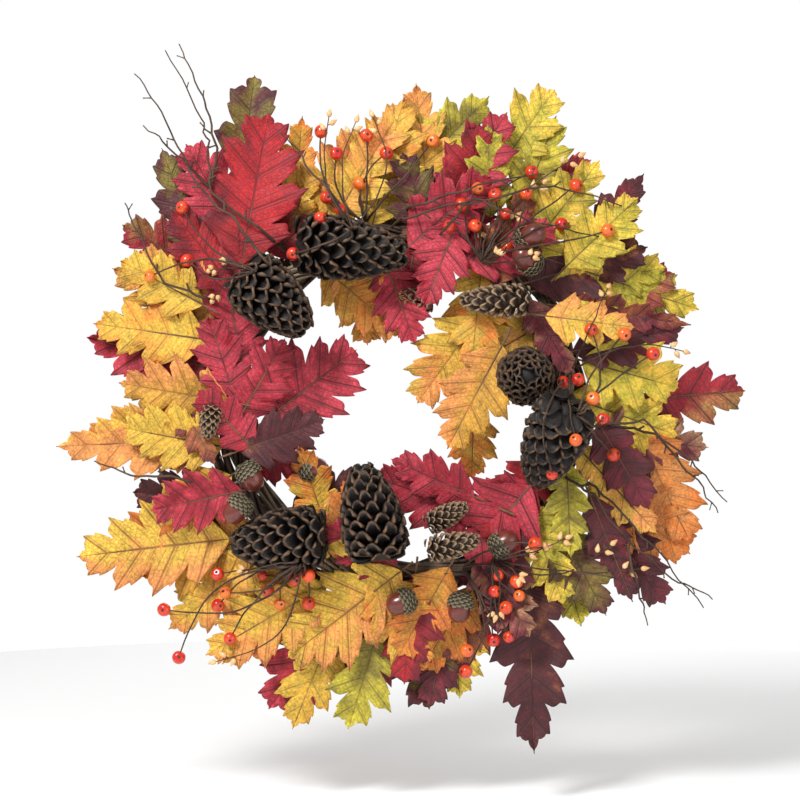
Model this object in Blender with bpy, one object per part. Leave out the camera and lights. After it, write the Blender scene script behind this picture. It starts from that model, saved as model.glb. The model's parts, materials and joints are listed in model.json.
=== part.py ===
"""Harvest door wreath: a twisted twig ring with leaves, cones, acorns, berries and a hanger loop.

The wreath stands in the XZ plane with its front towards -Y. The origin is the middle of the
hanger clip's flat back pad, which lies on the door, so the whole wreath is at negative Y.
Each decoration is laid on the pile in turn and moved forward until it clears what is under it.
"""
import math

import bmesh
import bpy
import numpy as np
from mathutils import Matrix, Vector

# Driving dimensions, in metres.
RING_RADIUS = 0.150
STRAND_RADIUS = 0.009
STRAND_COUNT = 3
STRAND_TURNS = 3
STRAND_STATIONS = 48
STRAND_SIDES = 6
THIN_SIDES = 5
CONE_SIDES = 12
SMALL_SIDES = 8
CLEARANCE = 0.0003
STACK_GAP = 0.0008

WIRE_RADIUS = 0.0012
WIRE_TIE_SIDES = 16
WIRE_TIE_ANGLES = (205, 335)

PAD_DEPTH = 0.005
PAD_HALF_HEIGHT = 0.0115
CLIP_WALL = 0.0016
CLIP_WIDTH = 0.024
CLIP_REACH = 105
KNUCKLE_WALL = 0.0012
KNUCKLE_HEIGHT = 0.0168

LOOP_WIRE_RADIUS = 0.0015
LOOP_LENGTH = 0.048
LOOP_SIDE_GAP = 0.0018

LEAF_SCALE = 1.0
LEAF_THICKNESS = 0.0009
LEAF_STALK_WIDTH = 0.0030
LEAF_STALK_LENGTH = 0.012
LEAF_STALK_HOLD = 0.010
VEIN_FOOT_ANGLE = 82
VEIN_TIP_ANGLE = 38
SLOT_DEPTH = 0.52

BIG_CONE_WIDTH = 0.060
FACING_CONE_LENGTH = 0.046
FACING_CONE_WIDTH = 0.054
SMALL_CONE_WIDTH = 0.026
CONE_STALK_RADIUS = 0.0022
ACORN_WIDTH = 0.021
ACORN_LENGTH = 0.027
BERRY_RADIUS = 0.0057
SPRAY_STEM_RADIUS = 0.0011
TWIG_RADIUS = 0.0016
TWIG_TIP_SHARE = 0.6
SPRAY_TIP_SHARE = 0.7
STEM_STEP = 0.010
STEM_SLOPE = 0.7
BRANCH_LEAN = 0.35

# The pile's height map: cells of this size over a square around the ring centre.
CELL = 0.002
MAP_HALF_CELLS = 220

# The strands lean as they twist, which brings them closer together.
LAY_ANGLE = math.atan(STRAND_TURNS * STRAND_RADIUS * 1.2 / RING_RADIUS)
STRAND_OFFSET = (STRAND_RADIUS + CLEARANCE) / math.sin(math.pi / STRAND_COUNT) / math.cos(LAY_ANGLE)
BUNDLE_RADIUS = STRAND_OFFSET + STRAND_RADIUS
# The clip is straight and the ring is round, so its bore is wider by the ring's rise across it.
CLIP_RISE = CLIP_WIDTH**2 / (8 * (RING_RADIUS - BUNDLE_RADIUS))
CLIP_BORE = BUNDLE_RADIUS + CLEARANCE + CLIP_RISE
RING_DEPTH = PAD_DEPTH + CLIP_BORE
RING_CENTRE = Vector((0.0, -RING_DEPTH, -RING_RADIUS))

# name, ring angle (degrees), distance outside the ring line (mm), heading (degrees),
# length (mm), width (mm), lobes a side, forward lean (degrees), colour
LEAVES = (
    ("burgundy_oak_leaf_1", -50, 32, -89, 158, 72, 4, -2, (0.14, 0.02, 0.03)),
    ("crimson_oak_leaf_1", 39, 59, 54, 87, 40, 3, 3, (0.20, 0.03, 0.04)),
    ("olive_oak_leaf_1", 123, 92, 84, 88, 58, 2, -3, (0.24, 0.12, 0.03)),
    ("crimson_oak_leaf_2", 2, 64, 5, 90, 62, 3, -3, (0.30, 0.02, 0.05)),
    ("yellow_oak_leaf_1", 120, 28, 85, 99, 46, 4, 2, (0.80, 0.48, 0.08)),
    ("orange_oak_leaf_1", -5, 58, -64, 108, 70, 4, -2, (0.70, 0.27, 0.06)),
    ("burgundy_oak_leaf_2", -24, 34, -69, 97, 38, 4, 2, (0.12, 0.02, 0.03)),
    ("yellow_oak_leaf_2", -132, 22, -142, 104, 62, 4, -4, (0.75, 0.38, 0.08)),
    ("peach_oak_leaf_1", -170, 11, -178, 133, 64, 4, -2, (0.75, 0.38, 0.12)),
    ("green_oak_leaf_1", 66, 86, 55, 72, 58, 3, 0, (0.55, 0.50, 0.06)),
    ("red_oak_leaf_1", 137, 29, 80, 133, 92, 4, 1, (0.58, 0.03, 0.05)),
    ("green_oak_leaf_2", 89, 40, 46, 112, 62, 4, -1, (0.42, 0.36, 0.05)),
    ("green_oak_leaf_3", 37, 50, -19, 108, 56, 4, -1, (0.55, 0.50, 0.06)),
    ("yellow_oak_leaf_3", 109, 20, 58, 124, 56, 5, 2, (0.78, 0.45, 0.08)),
    ("green_oak_leaf_4", 14, 15, -15, 86, 70, 3, 2, (0.58, 0.52, 0.07)),
    ("orange_oak_leaf_2", -67, 21, -124, 84, 60, 3, -3, (0.75, 0.33, 0.08)),
    ("peach_oak_leaf_2", -142, 30, -173, 132, 84, 4, 0, (0.80, 0.50, 0.14)),
    ("burgundy_oak_leaf_3", 32, 18, -9, 112, 30, 4, 3, (0.16, 0.03, 0.03)),
    ("yellow_oak_leaf_4", 160, 12, 136, 82, 88, 4, 2, (0.80, 0.40, 0.08)),
    ("yellow_oak_leaf_5", -88, -12, -142, 124, 84, 5, 1, (0.85, 0.48, 0.10)),
    ("yellow_oak_leaf_6", -168, 2, 170, 86, 62, 4, 3, (0.80, 0.60, 0.12)),
    ("yellow_oak_leaf_7", 48, -43, -125, 92, 66, 4, -3, (0.82, 0.46, 0.08)),
    ("crimson_oak_leaf_3", -30, -15, -133, 84, 72, 3, 0, (0.52, 0.03, 0.08)),
    ("red_oak_leaf_2", -176, -39, 37, 97, 84, 4, 0, (0.52, 0.03, 0.06)),
    ("orange_oak_leaf_3", -2, -82, -92, 58, 44, 3, -2, (0.75, 0.33, 0.08)),
    ("crimson_oak_leaf_5", 39, -2, -60, 78, 34, 3, 0, (0.20, 0.03, 0.05)),
    ("crimson_oak_leaf_4", -49, -49, 155, 78, 46, 3, -3, (0.50, 0.03, 0.07)),
)

# name, ring angle, distance outside the ring line (mm), heading, length (mm), tilt
BIG_CONES = (
    ("large_pine_cone_1", 121, 13, -6, 97, 0),
    ("large_pine_cone_2", 138, 22, -43, 74, 0),
    ("large_pine_cone_3", -119, -27, -175, 80, 0),
    ("large_pine_cone_4", -96, -22, 101, 82, 0),
    ("large_pine_cone_5", 1, -6, -111, 85, -34),
)

# name, ring angle, distance outside the ring line, heading, length, width share
SMALL_CONES = (
    ("small_pine_cone_1", 39, -4, 180, 59, 1.25),
    ("small_pine_cone_2", 71, -52, 170, 32, 1.05),
    ("small_pine_cone_3", -74, -47, 27, 36, 0.90),
    ("small_pine_cone_4", -77, -27, 13, 44, 1.00),
    ("small_pine_cone_5", 173, 42, -20, 27, 0.85),
    ("small_pine_cone_6", 179, 6, -100, 27, 0.85),
)

# name, ring angle, distance outside the ring line, heading of the nut's point
ACORNS = (
    ("acorn_1", -160, -12, -60),
    ("acorn_2", -149, -4, -130),
    ("acorn_3", -147, -50, 10),
    ("acorn_4", -56, -4, 30),
    ("acorn_5", -70, 18, -100),
    ("acorn_6", -84, 12, 200),
)

# name, foot (angle, offset), then each berry's (angle, offset)
BERRY_SPRAYS = (
    ("berry_spray_1", (100, 14), ((105, 96), (103, 74), (96, 85), (92, 68), (82, 82), (99, 45), (108, 40))),
    ("berry_spray_2", (62, 0), ((72, 32), (65, 50), (60, 84), (51, 96), (48, 62), (40, 85))),
    ("berry_spray_3", (-2, 0), ((18, 52), (12, 72), (3, 14), (-3, 28), (-12, 40), (22, 28))),
    ("berry_spray_4", (-68, 0), ((-44, 14), (-55, 30), (-61, 44), (-67, 66), (-75, 84))),
    ("berry_spray_5", (-120, 4), ((-137, 58), (-132, 78), (-139, 114), (-131, 136), (-125, 40), (-114, 32))),
)

# name, foot (angle, offset), then each branch tip's (angle, offset)
TWIGS = (
    ("bare_twig_1", (132, 6), ((128, 216), (122, 215), (117, 196))),
    ("bare_twig_2", (-12, 8), ((-16, 144), (-25, 112))),
    ("bare_twig_3", (-24, 12), ((-32, 168), (-41, 138))),
)


def new_material(name, colour, roughness, metallic=0.0):
    material = bpy.data.materials.new(name)
    material.use_nodes = True
    shader = material.node_tree.nodes["Principled BSDF"]
    shader.inputs["Base Color"].default_value = (*colour, 1.0)
    shader.inputs["Roughness"].default_value = roughness
    shader.inputs["Metallic"].default_value = metallic
    return material


def new_object(name, shape, colour, roughness=0.7, metallic=0.0):
    """Turns a bmesh into a named object with a material of its own."""
    bmesh.ops.recalc_face_normals(shape, faces=shape.faces)
    mesh = bpy.data.meshes.new(name)
    shape.to_mesh(mesh)
    shape.free()
    mesh.materials.append(new_material(name, colour, roughness, metallic))
    piece = bpy.data.objects.new(name, mesh)
    bpy.context.scene.collection.objects.link(piece)
    return piece


def ring_place(angle, offset_mm, depth=0.0):
    """A point at this ring angle, this far outside the ring line, this far in front of the door."""
    reach = RING_RADIUS + offset_mm / 1000
    turn = math.radians(angle)
    return Vector((reach * math.cos(turn), -depth, RING_CENTRE.z + reach * math.sin(turn)))


def arc(centre, radius, start, end, steps):
    """Points (y, z) along an arc, its angles in degrees from +Y."""
    turns = [math.radians(start + (end - start) * i / steps) for i in range(steps + 1)]
    return [(centre[0] + radius * math.cos(t), centre[1] + radius * math.sin(t)) for t in turns]


def add_tube(shape, points, radii, sides, closed=False):
    """A round tube through these points, with flat ends unless it closes on itself."""
    count = len(points)
    rings = []
    side = None
    for i, point in enumerate(points):
        before = points[i - 1] if i or closed else point
        after = points[(i + 1) % count] if i + 1 < count or closed else point
        along = (after - before).normalized()
        if side is None:
            guide = Vector((0, 1, 0)) if abs(along.y) < 0.9 else Vector((1, 0, 0))
            side = along.cross(guide)
        side = (side - along * side.dot(along)).normalized()
        up = along.cross(side)
        turns = [2 * math.pi * k / sides for k in range(sides)]
        rings.append(
            [shape.verts.new(point + radii[i] * (side * math.cos(t) + up * math.sin(t))) for t in turns]
        )
    for i in range(count if closed else count - 1):
        first, second = rings[i], rings[(i + 1) % count]
        for k in range(sides):
            shape.faces.new((first[k], first[(k + 1) % sides], second[(k + 1) % sides], second[k]))
    if not closed:
        shape.faces.new(rings[0][::-1])
        shape.faces.new(rings[-1])


def make_strand(number):
    """One strand of the twig ring: a closed helix around the ring line."""
    points = []
    for i in range(STRAND_STATIONS):
        turn = 2 * math.pi * i / STRAND_STATIONS
        twist = STRAND_TURNS * turn + 2 * math.pi * number / STRAND_COUNT
        reach = RING_RADIUS + STRAND_OFFSET * math.cos(twist)
        place = Vector((reach * math.cos(turn), STRAND_OFFSET * math.sin(twist), reach * math.sin(turn)))
        points.append(RING_CENTRE + place)
    shape = bmesh.new()
    add_tube(shape, points, [STRAND_RADIUS] * STRAND_STATIONS, STRAND_SIDES, closed=True)
    return new_object(f"twig_ring_strand_{number + 1}", shape, (0.10, 0.06, 0.035), 0.85)


def make_wire_tie(number, angle):
    """A ring of binding wire around the bundle of strands."""
    centre = ring_place(angle, 0, RING_DEPTH)
    outward = Vector((math.cos(math.radians(angle)), 0, math.sin(math.radians(angle))))
    # The tie is flat between its corners, so it stands off by that much more.
    radius = (BUNDLE_RADIUS + WIRE_RADIUS + CLEARANCE) / math.cos(math.pi / WIRE_TIE_SIDES)
    points = []
    for i in range(WIRE_TIE_SIDES):
        turn = 2 * math.pi * i / WIRE_TIE_SIDES
        points.append(centre + radius * (outward * math.cos(turn) + Vector((0, math.sin(turn), 0))))
    shape = bmesh.new()
    add_tube(shape, points, [WIRE_RADIUS] * WIRE_TIE_SIDES, THIN_SIDES, closed=True)
    return new_object(f"binding_wire_{number + 1}", shape, (0.10, 0.13, 0.07), 0.5, 1.0)


def make_hanger_clip():
    """A moulded clip that snaps over the ring, with a flat back pad and a knuckle for the loop."""
    middle = (-RING_DEPTH, 0.0)
    outer = CLIP_BORE + CLIP_WALL
    bore = LOOP_WIRE_RADIUS + CLEARANCE
    knuckle = bore + KNUCKLE_WALL
    centre = (-knuckle, KNUCKLE_HEIGHT)
    pad_turn = math.degrees(math.asin(PAD_HALF_HEIGHT / outer))
    outline = [(0.0, -PAD_HALF_HEIGHT)]
    outline += arc(centre, knuckle, 0, 245, 10)
    outline += arc(centre, bore, 245, -60, 10)
    outline.append((-bore, PAD_HALF_HEIGHT))
    outline += arc(middle, outer, pad_turn, CLIP_REACH, 6)
    outline += arc(middle, CLIP_BORE, CLIP_REACH, -CLIP_REACH, 14)
    outline += arc(middle, outer, -CLIP_REACH, -pad_turn, 6)
    shape = bmesh.new()
    corners = [shape.verts.new((-CLIP_WIDTH / 2, y, z)) for y, z in outline]
    face = shape.faces.new(corners)
    made = bmesh.ops.extrude_face_region(shape, geom=[face])["geom"]
    moved = [v for v in made if isinstance(v, bmesh.types.BMVert)]
    bmesh.ops.translate(shape, verts=moved, vec=(CLIP_WIDTH, 0, 0))
    return new_object("hanger_clip", shape, (0.045, 0.03, 0.02), 0.45)


def make_hanger_loop():
    """A steel wire loop whose straight bar turns in the clip's knuckle."""
    pivot = Vector((0, -(LOOP_WIRE_RADIUS + CLEARANCE + KNUCKLE_WALL), KNUCKLE_HEIGHT))
    half = CLIP_WIDTH / 2 + LOOP_SIDE_GAP + LOOP_WIRE_RADIUS
    bend = 3 * LOOP_WIRE_RADIUS
    spots = [(0.0, 0.0)]
    for i in range(4):
        turn = math.radians(90 - 30 * i)
        spots.append((half - bend + bend * math.cos(turn), -bend + bend * math.sin(turn)))
    for i in range(9):
        turn = math.radians(-180 * i / 8)
        spots.append((half * math.cos(turn), half - LOOP_LENGTH + half * math.sin(turn)))
    for i in range(4):
        turn = math.radians(180 - 30 * i)
        spots.append((-half + bend + bend * math.cos(turn), -bend + bend * math.sin(turn)))
    points = [pivot + Vector((x, 0, z)) for x, z in spots]
    shape = bmesh.new()
    add_tube(shape, points, [LOOP_WIRE_RADIUS] * len(points), 8, closed=True)
    # The loop's origin is on the axis that it turns about.
    bmesh.ops.translate(shape, verts=shape.verts, vec=-pivot)
    loop = new_object("hanger_loop", shape, (0.45, 0.44, 0.42), 0.3, 1.0)
    loop.location = pivot
    return loop


def lobe_reach(share, lobes):
    """How far a side vein runs at this share of the blade, from 0 to 1."""
    swell = math.sin(math.pi * min(1.0, share + 0.01) ** 0.62) ** 0.75
    lobe = share * (lobes + 0.5) % 1.0
    notch = 1 - SLOT_DEPTH if lobe < 0.12 and share > 0.12 else 1.0
    point = 1 - 0.22 * abs(lobe - 0.6) / 0.6
    return swell * notch * point


def make_leaf(name, angle, offset, heading, length, width, lobes, lean, colour):
    """A lobed leaf on a short stalk: rows run along its side veins from the midrib to the margin."""
    length *= LEAF_SCALE / 1000
    width *= LEAF_SCALE / 1000
    reach = width / 2
    stations = [0.02]
    for lobe in range(lobes + 1):
        start = lobe / (lobes + 0.5)
        spots = (start + 0.02, start + 0.13 / lobes, start + 0.6 / lobes)
        stations += [s for s in spots if stations[-1] < s < 0.97]
    shape = bmesh.new()
    rows = []
    # A leaf whose foot is away from the ring has a stalk long enough to be held in it.
    stalk = max(LEAF_STALK_LENGTH, abs(offset) / 1000 - BUNDLE_RADIUS + LEAF_STALK_HOLD)
    for x in (-stalk, 0.0):
        half = LEAF_STALK_WIDTH / 2
        rows.append([(x, half), (x, 0.0), (x, -half)])
    for share in stations:
        run = reach * lobe_reach(share, lobes)
        turn = math.radians(VEIN_FOOT_ANGLE + (VEIN_TIP_ANGLE - VEIN_FOOT_ANGLE) * share)
        out = run * math.sin(turn) + LEAF_STALK_WIDTH / 2
        ahead = share * length + run * math.cos(turn)
        rows.append([(ahead, out), (share * length, 0.0), (ahead, -out)])
    grid = [[shape.verts.new((x, 0, z)) for x, z in row] for row in rows]
    tip = shape.verts.new((length, 0, 0))
    for first, second in zip(grid, grid[1:]):
        shape.faces.new((first[0], first[1], second[1], second[0]))
        shape.faces.new((first[1], first[2], second[2], second[1]))
    shape.faces.new((grid[-1][0], grid[-1][1], tip))
    shape.faces.new((grid[-1][1], grid[-1][2], tip))
    made = bmesh.ops.extrude_face_region(shape, geom=shape.faces[:])["geom"]
    front = [v for v in made if isinstance(v, bmesh.types.BMVert)]
    bmesh.ops.translate(shape, verts=front, vec=(0, -LEAF_THICKNESS, 0))
    turn = Matrix.Rotation(-math.radians(heading), 4, "Y") @ Matrix.Rotation(-math.radians(lean), 4, "Z")
    bmesh.ops.transform(shape, matrix=Matrix.Translation(ring_place(angle, offset)) @ turn, verts=shape.verts)
    return new_object(name, shape, colour, 0.75)


def make_turned(name, profile, sides, angle, offset, heading, tilt, colour, roughness):
    """A solid turned from (distance along, radius) pairs, lying at this heading."""
    shape = bmesh.new()
    points = [Vector((along, 0, 0)) for along, radius in profile]
    add_tube(shape, points, [radius for along, radius in profile], sides)
    turn = Matrix.Rotation(-math.radians(heading), 4, "Y") @ Matrix.Rotation(-math.radians(tilt), 4, "Z")
    bmesh.ops.transform(shape, matrix=Matrix.Translation(ring_place(angle, offset)) @ turn, verts=shape.verts)
    return new_object(name, shape, colour, roughness)


def cone_profile(length, width):
    """A pine cone's outline: a short stalk, a broad round foot and a blunt point."""
    profile = [(-0.006, CONE_STALK_RADIUS), (0.001, CONE_STALK_RADIUS)]
    for share in (0.02, 0.12, 0.3, 0.5, 0.7, 0.88, 1.0):
        swell = math.sin(math.pi * (0.10 + 0.86 * share) ** 0.72) ** 0.62
        profile.append((length * share, max(CONE_STALK_RADIUS, width / 2 * swell)))
    return profile


def acorn_profile():
    """An acorn's outline: stalk, cap, the step down to the nut, and the nut's point."""
    half = ACORN_WIDTH / 2
    cap = 0.38 * ACORN_LENGTH
    profile = [(-0.004, 0.0012), (0.0, 0.0014), (0.25 * cap, 0.75 * half), (0.7 * cap, half)]
    profile += [(cap, half), (cap + 0.0004, 0.92 * half)]
    profile += [(0.75 * ACORN_LENGTH, 0.78 * half), (0.93 * ACORN_LENGTH, 0.4 * half), (ACORN_LENGTH, 0.001)]
    return profile


class Pile:
    """The front of everything laid so far, as a depth in front of the door for each cell."""

    def __init__(self):
        # Nothing lies further back than the middle of the ring.
        self.front = np.full((2 * MAP_HALF_CELLS, 2 * MAP_HALF_CELLS), RING_DEPTH)

    def samples(self, piece):
        """Points spread closely over the piece's surface, as (cell, cell, depth)."""
        graph = bpy.context.evaluated_depsgraph_get()
        evaluated = piece.evaluated_get(graph)
        mesh = evaluated.to_mesh()
        mesh.calc_loop_triangles()
        corners = np.array([v.co for v in mesh.vertices]) + np.array(piece.location)
        found = []
        for triangle in mesh.loop_triangles:
            a, b, c = corners[list(triangle.vertices)]
            longest = max(np.linalg.norm(b - a), np.linalg.norm(c - b), np.linalg.norm(a - c))
            steps = max(1, math.ceil(longest / (0.75 * CELL)))
            i, j = np.meshgrid(np.arange(steps + 1), np.arange(steps + 1))
            kept = i + j <= steps
            u, v = i[kept][:, None] / steps, j[kept][:, None] / steps
            found.append(a + u * (b - a) + v * (c - a))
        evaluated.to_mesh_clear()
        points = np.concatenate(found)
        cells = np.floor((points[:, [0, 2]] - [0, RING_CENTRE.z]) / CELL).astype(int) + MAP_HALF_CELLS
        return cells[:, 0], cells[:, 1], -points[:, 1]

    def height(self, x, z):
        """The furthest front in these cells and the cells round them."""
        steps = (-1, 0, 1)
        return np.max([self.front[x + i, z + j] for i in steps for j in steps], axis=0)

    def add(self, piece):
        x, z, depth = self.samples(piece)
        np.maximum.at(self.front, (x, z), depth)

    def lay(self, piece):
        """Moves the piece so that it just clears the pile, then adds it."""
        x, z, depth = self.samples(piece)
        lift = (self.height(x, z) + STACK_GAP - depth).max()
        piece.data.transform(Matrix.Translation((0, -lift, 0)))
        self.add(piece)

    def over(self, places, radius):
        """Depths for a stem through these places, which climbs over the pile no steeper than STEM_SLOPE."""
        reach = math.ceil(radius / CELL) + 1
        steps = range(-reach, reach + 1)
        depths = []
        for place in places:
            x = int((place.x) // CELL) + MAP_HALF_CELLS
            z = int((place.z - RING_CENTRE.z) // CELL) + MAP_HALF_CELLS
            depths.append(max(self.front[x + i, z + j] for i in steps for j in steps) + radius + STACK_GAP)
        eased = []
        for here in places:
            run = [(place - here).length * STEM_SLOPE for place in places]
            eased.append(max(depth - fall for depth, fall in zip(depths, run)))
        return eased


def stem_route(start, end, pile, radius):
    """Points from start to end, a step apart, lying over the pile."""
    steps = max(2, math.ceil((end - start).length / STEM_STEP))
    places = [start.lerp(end, i / steps) for i in range(steps + 1)]
    fine = [start.lerp(end, i / (4 * steps)) for i in range(4 * steps + 1)]
    depths = pile.over(fine, radius)
    highest = [max(depths[max(0, 4 * i - 4): 4 * i + 5]) for i in range(steps + 1)]
    return [Vector((place.x, -depth, place.z)) for place, depth in zip(places, highest)]


def joined(name, main, others, colour, roughness):
    """One solid made of the main shape and the shapes that grow out of it."""
    piece = new_object(name, main, colour, roughness)
    helper = new_object(name + "_branches", others, colour, roughness)
    helper.hide_render = True
    helper.display_type = "WIRE"
    union = piece.modifiers.new("join", "BOOLEAN")
    union.operation = "UNION"
    union.object = helper
    union.use_self = True
    return piece


def make_branched(name, foot, tips, pile, radius, tip_share, berry_radius, colour):
    """A stem to the furthest tip with a branch to each other tip, and a berry on each if it has them."""
    start = ring_place(*foot)
    ends = sorted((ring_place(*tip) for tip in tips), key=lambda end: (start - end).length, reverse=True)
    lift = max(radius, berry_radius)
    trunk = stem_route(start, ends[0], pile, lift)
    main = bmesh.new()
    branches = bmesh.new()
    shares = [1 - (1 - tip_share) * i / (len(trunk) - 1) for i in range(len(trunk))]
    add_tube(main, trunk, [radius * share for share in shares], THIN_SIDES)
    for end in ends[1:]:
        joints = [a.lerp(b, 0.5) for a, b in zip(trunk, trunk[1:-1])]
        nearest = min(joints, key=lambda point: (point - end).length + (point - start).length * BRANCH_LEAN)
        flat = Vector((nearest.x, 0, nearest.z))
        route = stem_route(flat, end, pile, lift)
        route[0] = nearest
        sizes = [radius * tip_share * (1 - 0.3 * i / (len(route) - 1)) for i in range(len(route))]
        add_tube(branches, route, sizes, THIN_SIDES)
        if berry_radius:
            add_berry(branches, route[-1], berry_radius)
    if berry_radius:
        add_berry(branches, trunk[-1], berry_radius)
    return joined(name, main, branches, colour, 0.4 if berry_radius else 0.85)


def add_berry(shape, centre, radius):
    place = Matrix.Translation(centre) @ Matrix.Rotation(0.5, 4, (1, 2, 3))
    bmesh.ops.create_icosphere(shape, subdivisions=1, radius=radius, matrix=place)


def build_wreath():
    for old in list(bpy.data.objects):
        bpy.data.objects.remove(old, do_unlink=True)
    cone_colour = (0.035, 0.022, 0.015)
    acorn_colour = (0.12, 0.03, 0.02)
    twig_colour = (0.09, 0.06, 0.04)
    berry_colour = (0.75, 0.06, 0.02)
    pile = Pile()
    for number in range(STRAND_COUNT):
        pile.add(make_strand(number))
    for number, angle in enumerate(WIRE_TIE_ANGLES):
        pile.add(make_wire_tie(number, angle))
    pile.add(make_hanger_clip())
    make_hanger_loop()
    for name, foot, tips in TWIGS:
        pile.add(make_branched(name, foot, tips, pile, TWIG_RADIUS, TWIG_TIP_SHARE, 0.0, twig_colour))
    for row in LEAVES:
        pile.lay(make_leaf(*row))
    facing = cone_profile(FACING_CONE_LENGTH, FACING_CONE_WIDTH)
    pile.lay(make_turned("large_pine_cone_6", facing, CONE_SIDES, 14, -36, 0, 90, cone_colour, 0.8))
    for name, angle, offset, heading, length, tilt in BIG_CONES:
        profile = cone_profile(length / 1000, BIG_CONE_WIDTH)
        pile.lay(make_turned(name, profile, CONE_SIDES, angle, offset, heading, tilt, cone_colour, 0.8))
    for name, angle, offset, heading, length, share in SMALL_CONES:
        profile = cone_profile(length / 1000, SMALL_CONE_WIDTH * share)
        pile.lay(make_turned(name, profile, SMALL_SIDES, angle, offset, heading, 0, cone_colour, 0.8))
    for name, angle, offset, heading in ACORNS:
        profile = acorn_profile()
        pile.lay(make_turned(name, profile, SMALL_SIDES, angle, offset, heading, 0, acorn_colour, 0.35))
    for name, foot, tips in BERRY_SPRAYS:
        sizes = (SPRAY_STEM_RADIUS, SPRAY_TIP_SHARE, BERRY_RADIUS)
        pile.add(make_branched(name, foot, tips, pile, *sizes, berry_colour))


build_wreath()
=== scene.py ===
import json
import math
import random

import bmesh
import bpy
import numpy as np
from mathutils import Matrix, Vector, noise

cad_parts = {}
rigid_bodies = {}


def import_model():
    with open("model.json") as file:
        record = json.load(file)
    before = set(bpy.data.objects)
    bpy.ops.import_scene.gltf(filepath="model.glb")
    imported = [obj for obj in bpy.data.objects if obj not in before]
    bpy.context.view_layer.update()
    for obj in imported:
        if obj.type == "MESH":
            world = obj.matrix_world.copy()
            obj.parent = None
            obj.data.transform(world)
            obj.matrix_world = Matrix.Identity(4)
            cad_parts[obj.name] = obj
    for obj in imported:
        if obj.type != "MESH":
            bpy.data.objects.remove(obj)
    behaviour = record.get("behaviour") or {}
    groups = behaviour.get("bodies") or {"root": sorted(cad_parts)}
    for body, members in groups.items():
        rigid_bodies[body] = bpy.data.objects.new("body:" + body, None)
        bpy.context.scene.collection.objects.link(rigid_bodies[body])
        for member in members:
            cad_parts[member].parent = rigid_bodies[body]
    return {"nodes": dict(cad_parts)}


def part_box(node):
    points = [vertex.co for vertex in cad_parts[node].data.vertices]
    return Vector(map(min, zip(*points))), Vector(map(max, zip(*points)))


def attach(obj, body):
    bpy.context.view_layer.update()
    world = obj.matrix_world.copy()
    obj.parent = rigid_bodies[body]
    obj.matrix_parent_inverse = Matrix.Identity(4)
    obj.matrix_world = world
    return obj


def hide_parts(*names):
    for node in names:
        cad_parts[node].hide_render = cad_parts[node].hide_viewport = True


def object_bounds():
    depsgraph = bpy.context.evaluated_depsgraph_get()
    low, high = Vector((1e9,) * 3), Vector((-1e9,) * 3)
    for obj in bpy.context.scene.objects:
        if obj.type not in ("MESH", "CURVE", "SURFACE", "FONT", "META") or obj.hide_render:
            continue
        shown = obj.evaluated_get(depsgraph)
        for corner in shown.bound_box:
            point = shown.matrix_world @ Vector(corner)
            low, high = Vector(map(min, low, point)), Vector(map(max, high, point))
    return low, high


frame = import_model()
cad_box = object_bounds()
scene = bpy.context.scene
nodes = frame["nodes"]

# ---- Camera, light and floor.
# A level camera straight in front of the wreath, soft light from above and the left,
# and a plain white floor below it.
VIEW_WIDTH = 0.696
LENS = 85
SENSOR = 36
VIEW_ASIDE = 0.004
VIEW_RISE = 0.007
SKY_GLOW = 0.46
FLOOR_RADIUS = 1.1
FLOOR_DROP = 0.045
low = Vector(cad_box[0])
ring_low = Vector(np.min([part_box(n)[0] for n in nodes if n.startswith("twig_ring")], axis=0))
ring_high = Vector(np.max([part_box(n)[1] for n in nodes if n.startswith("twig_ring")], axis=0))
ring_centre = (ring_low + ring_high) / 2
bundle_radius = (ring_high.y - ring_low.y) / 2
ring_radius = (ring_high.x - ring_low.x) / 2 - bundle_radius

camera = bpy.data.objects.new("camera", bpy.data.cameras.new("camera"))
camera.data.lens = LENS
camera.data.sensor_width = SENSOR
view_distance = VIEW_WIDTH * LENS / SENSOR
camera.location = (VIEW_ASIDE, ring_centre.y - view_distance, ring_centre.z + VIEW_RISE)
camera.rotation_euler = (math.radians(90), 0, 0)
scene.collection.objects.link(camera)
scene.camera = camera
scene.view_settings.view_transform = "Standard"

world = bpy.data.worlds.new("studio")
world.use_nodes = True
sky = world.node_tree.nodes["Background"]
ray = world.node_tree.nodes.new("ShaderNodeLightPath")
white = world.node_tree.nodes.new("ShaderNodeMapRange")
white.inputs["To Min"].default_value = SKY_GLOW
white.inputs["To Max"].default_value = 1.0
world.node_tree.links.new(ray.outputs["Is Camera Ray"], white.inputs["Value"])
world.node_tree.links.new(white.outputs["Result"], sky.inputs["Strength"])
sky.inputs["Color"].default_value = (1, 1, 1, 1)
scene.world = world


def as_mesh(shape, name):
    """The bmesh as a mesh, and the bmesh let go."""
    mesh = bpy.data.meshes.new(name)
    shape.to_mesh(mesh)
    shape.free()
    return mesh


def add_light(name, place, size, power):
    """A square light of this size (m) and power (W) that faces the ring."""
    light = bpy.data.objects.new(name, bpy.data.lights.new(name, "AREA"))
    light.data.size = size
    light.data.energy = power
    light.location = place
    light.rotation_euler = (ring_centre - Vector(place)).to_track_quat("-Z", "Y").to_euler()
    scene.collection.objects.link(light)


add_light("key_light", (-0.8, -1.3, 1.0), 0.5, 34)
add_light("fill_light", (1.3, -1.4, 0.1), 1.2, 7)
add_light("back_light", (0.4, 1.6, 0.8), 1.4, 14)

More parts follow.
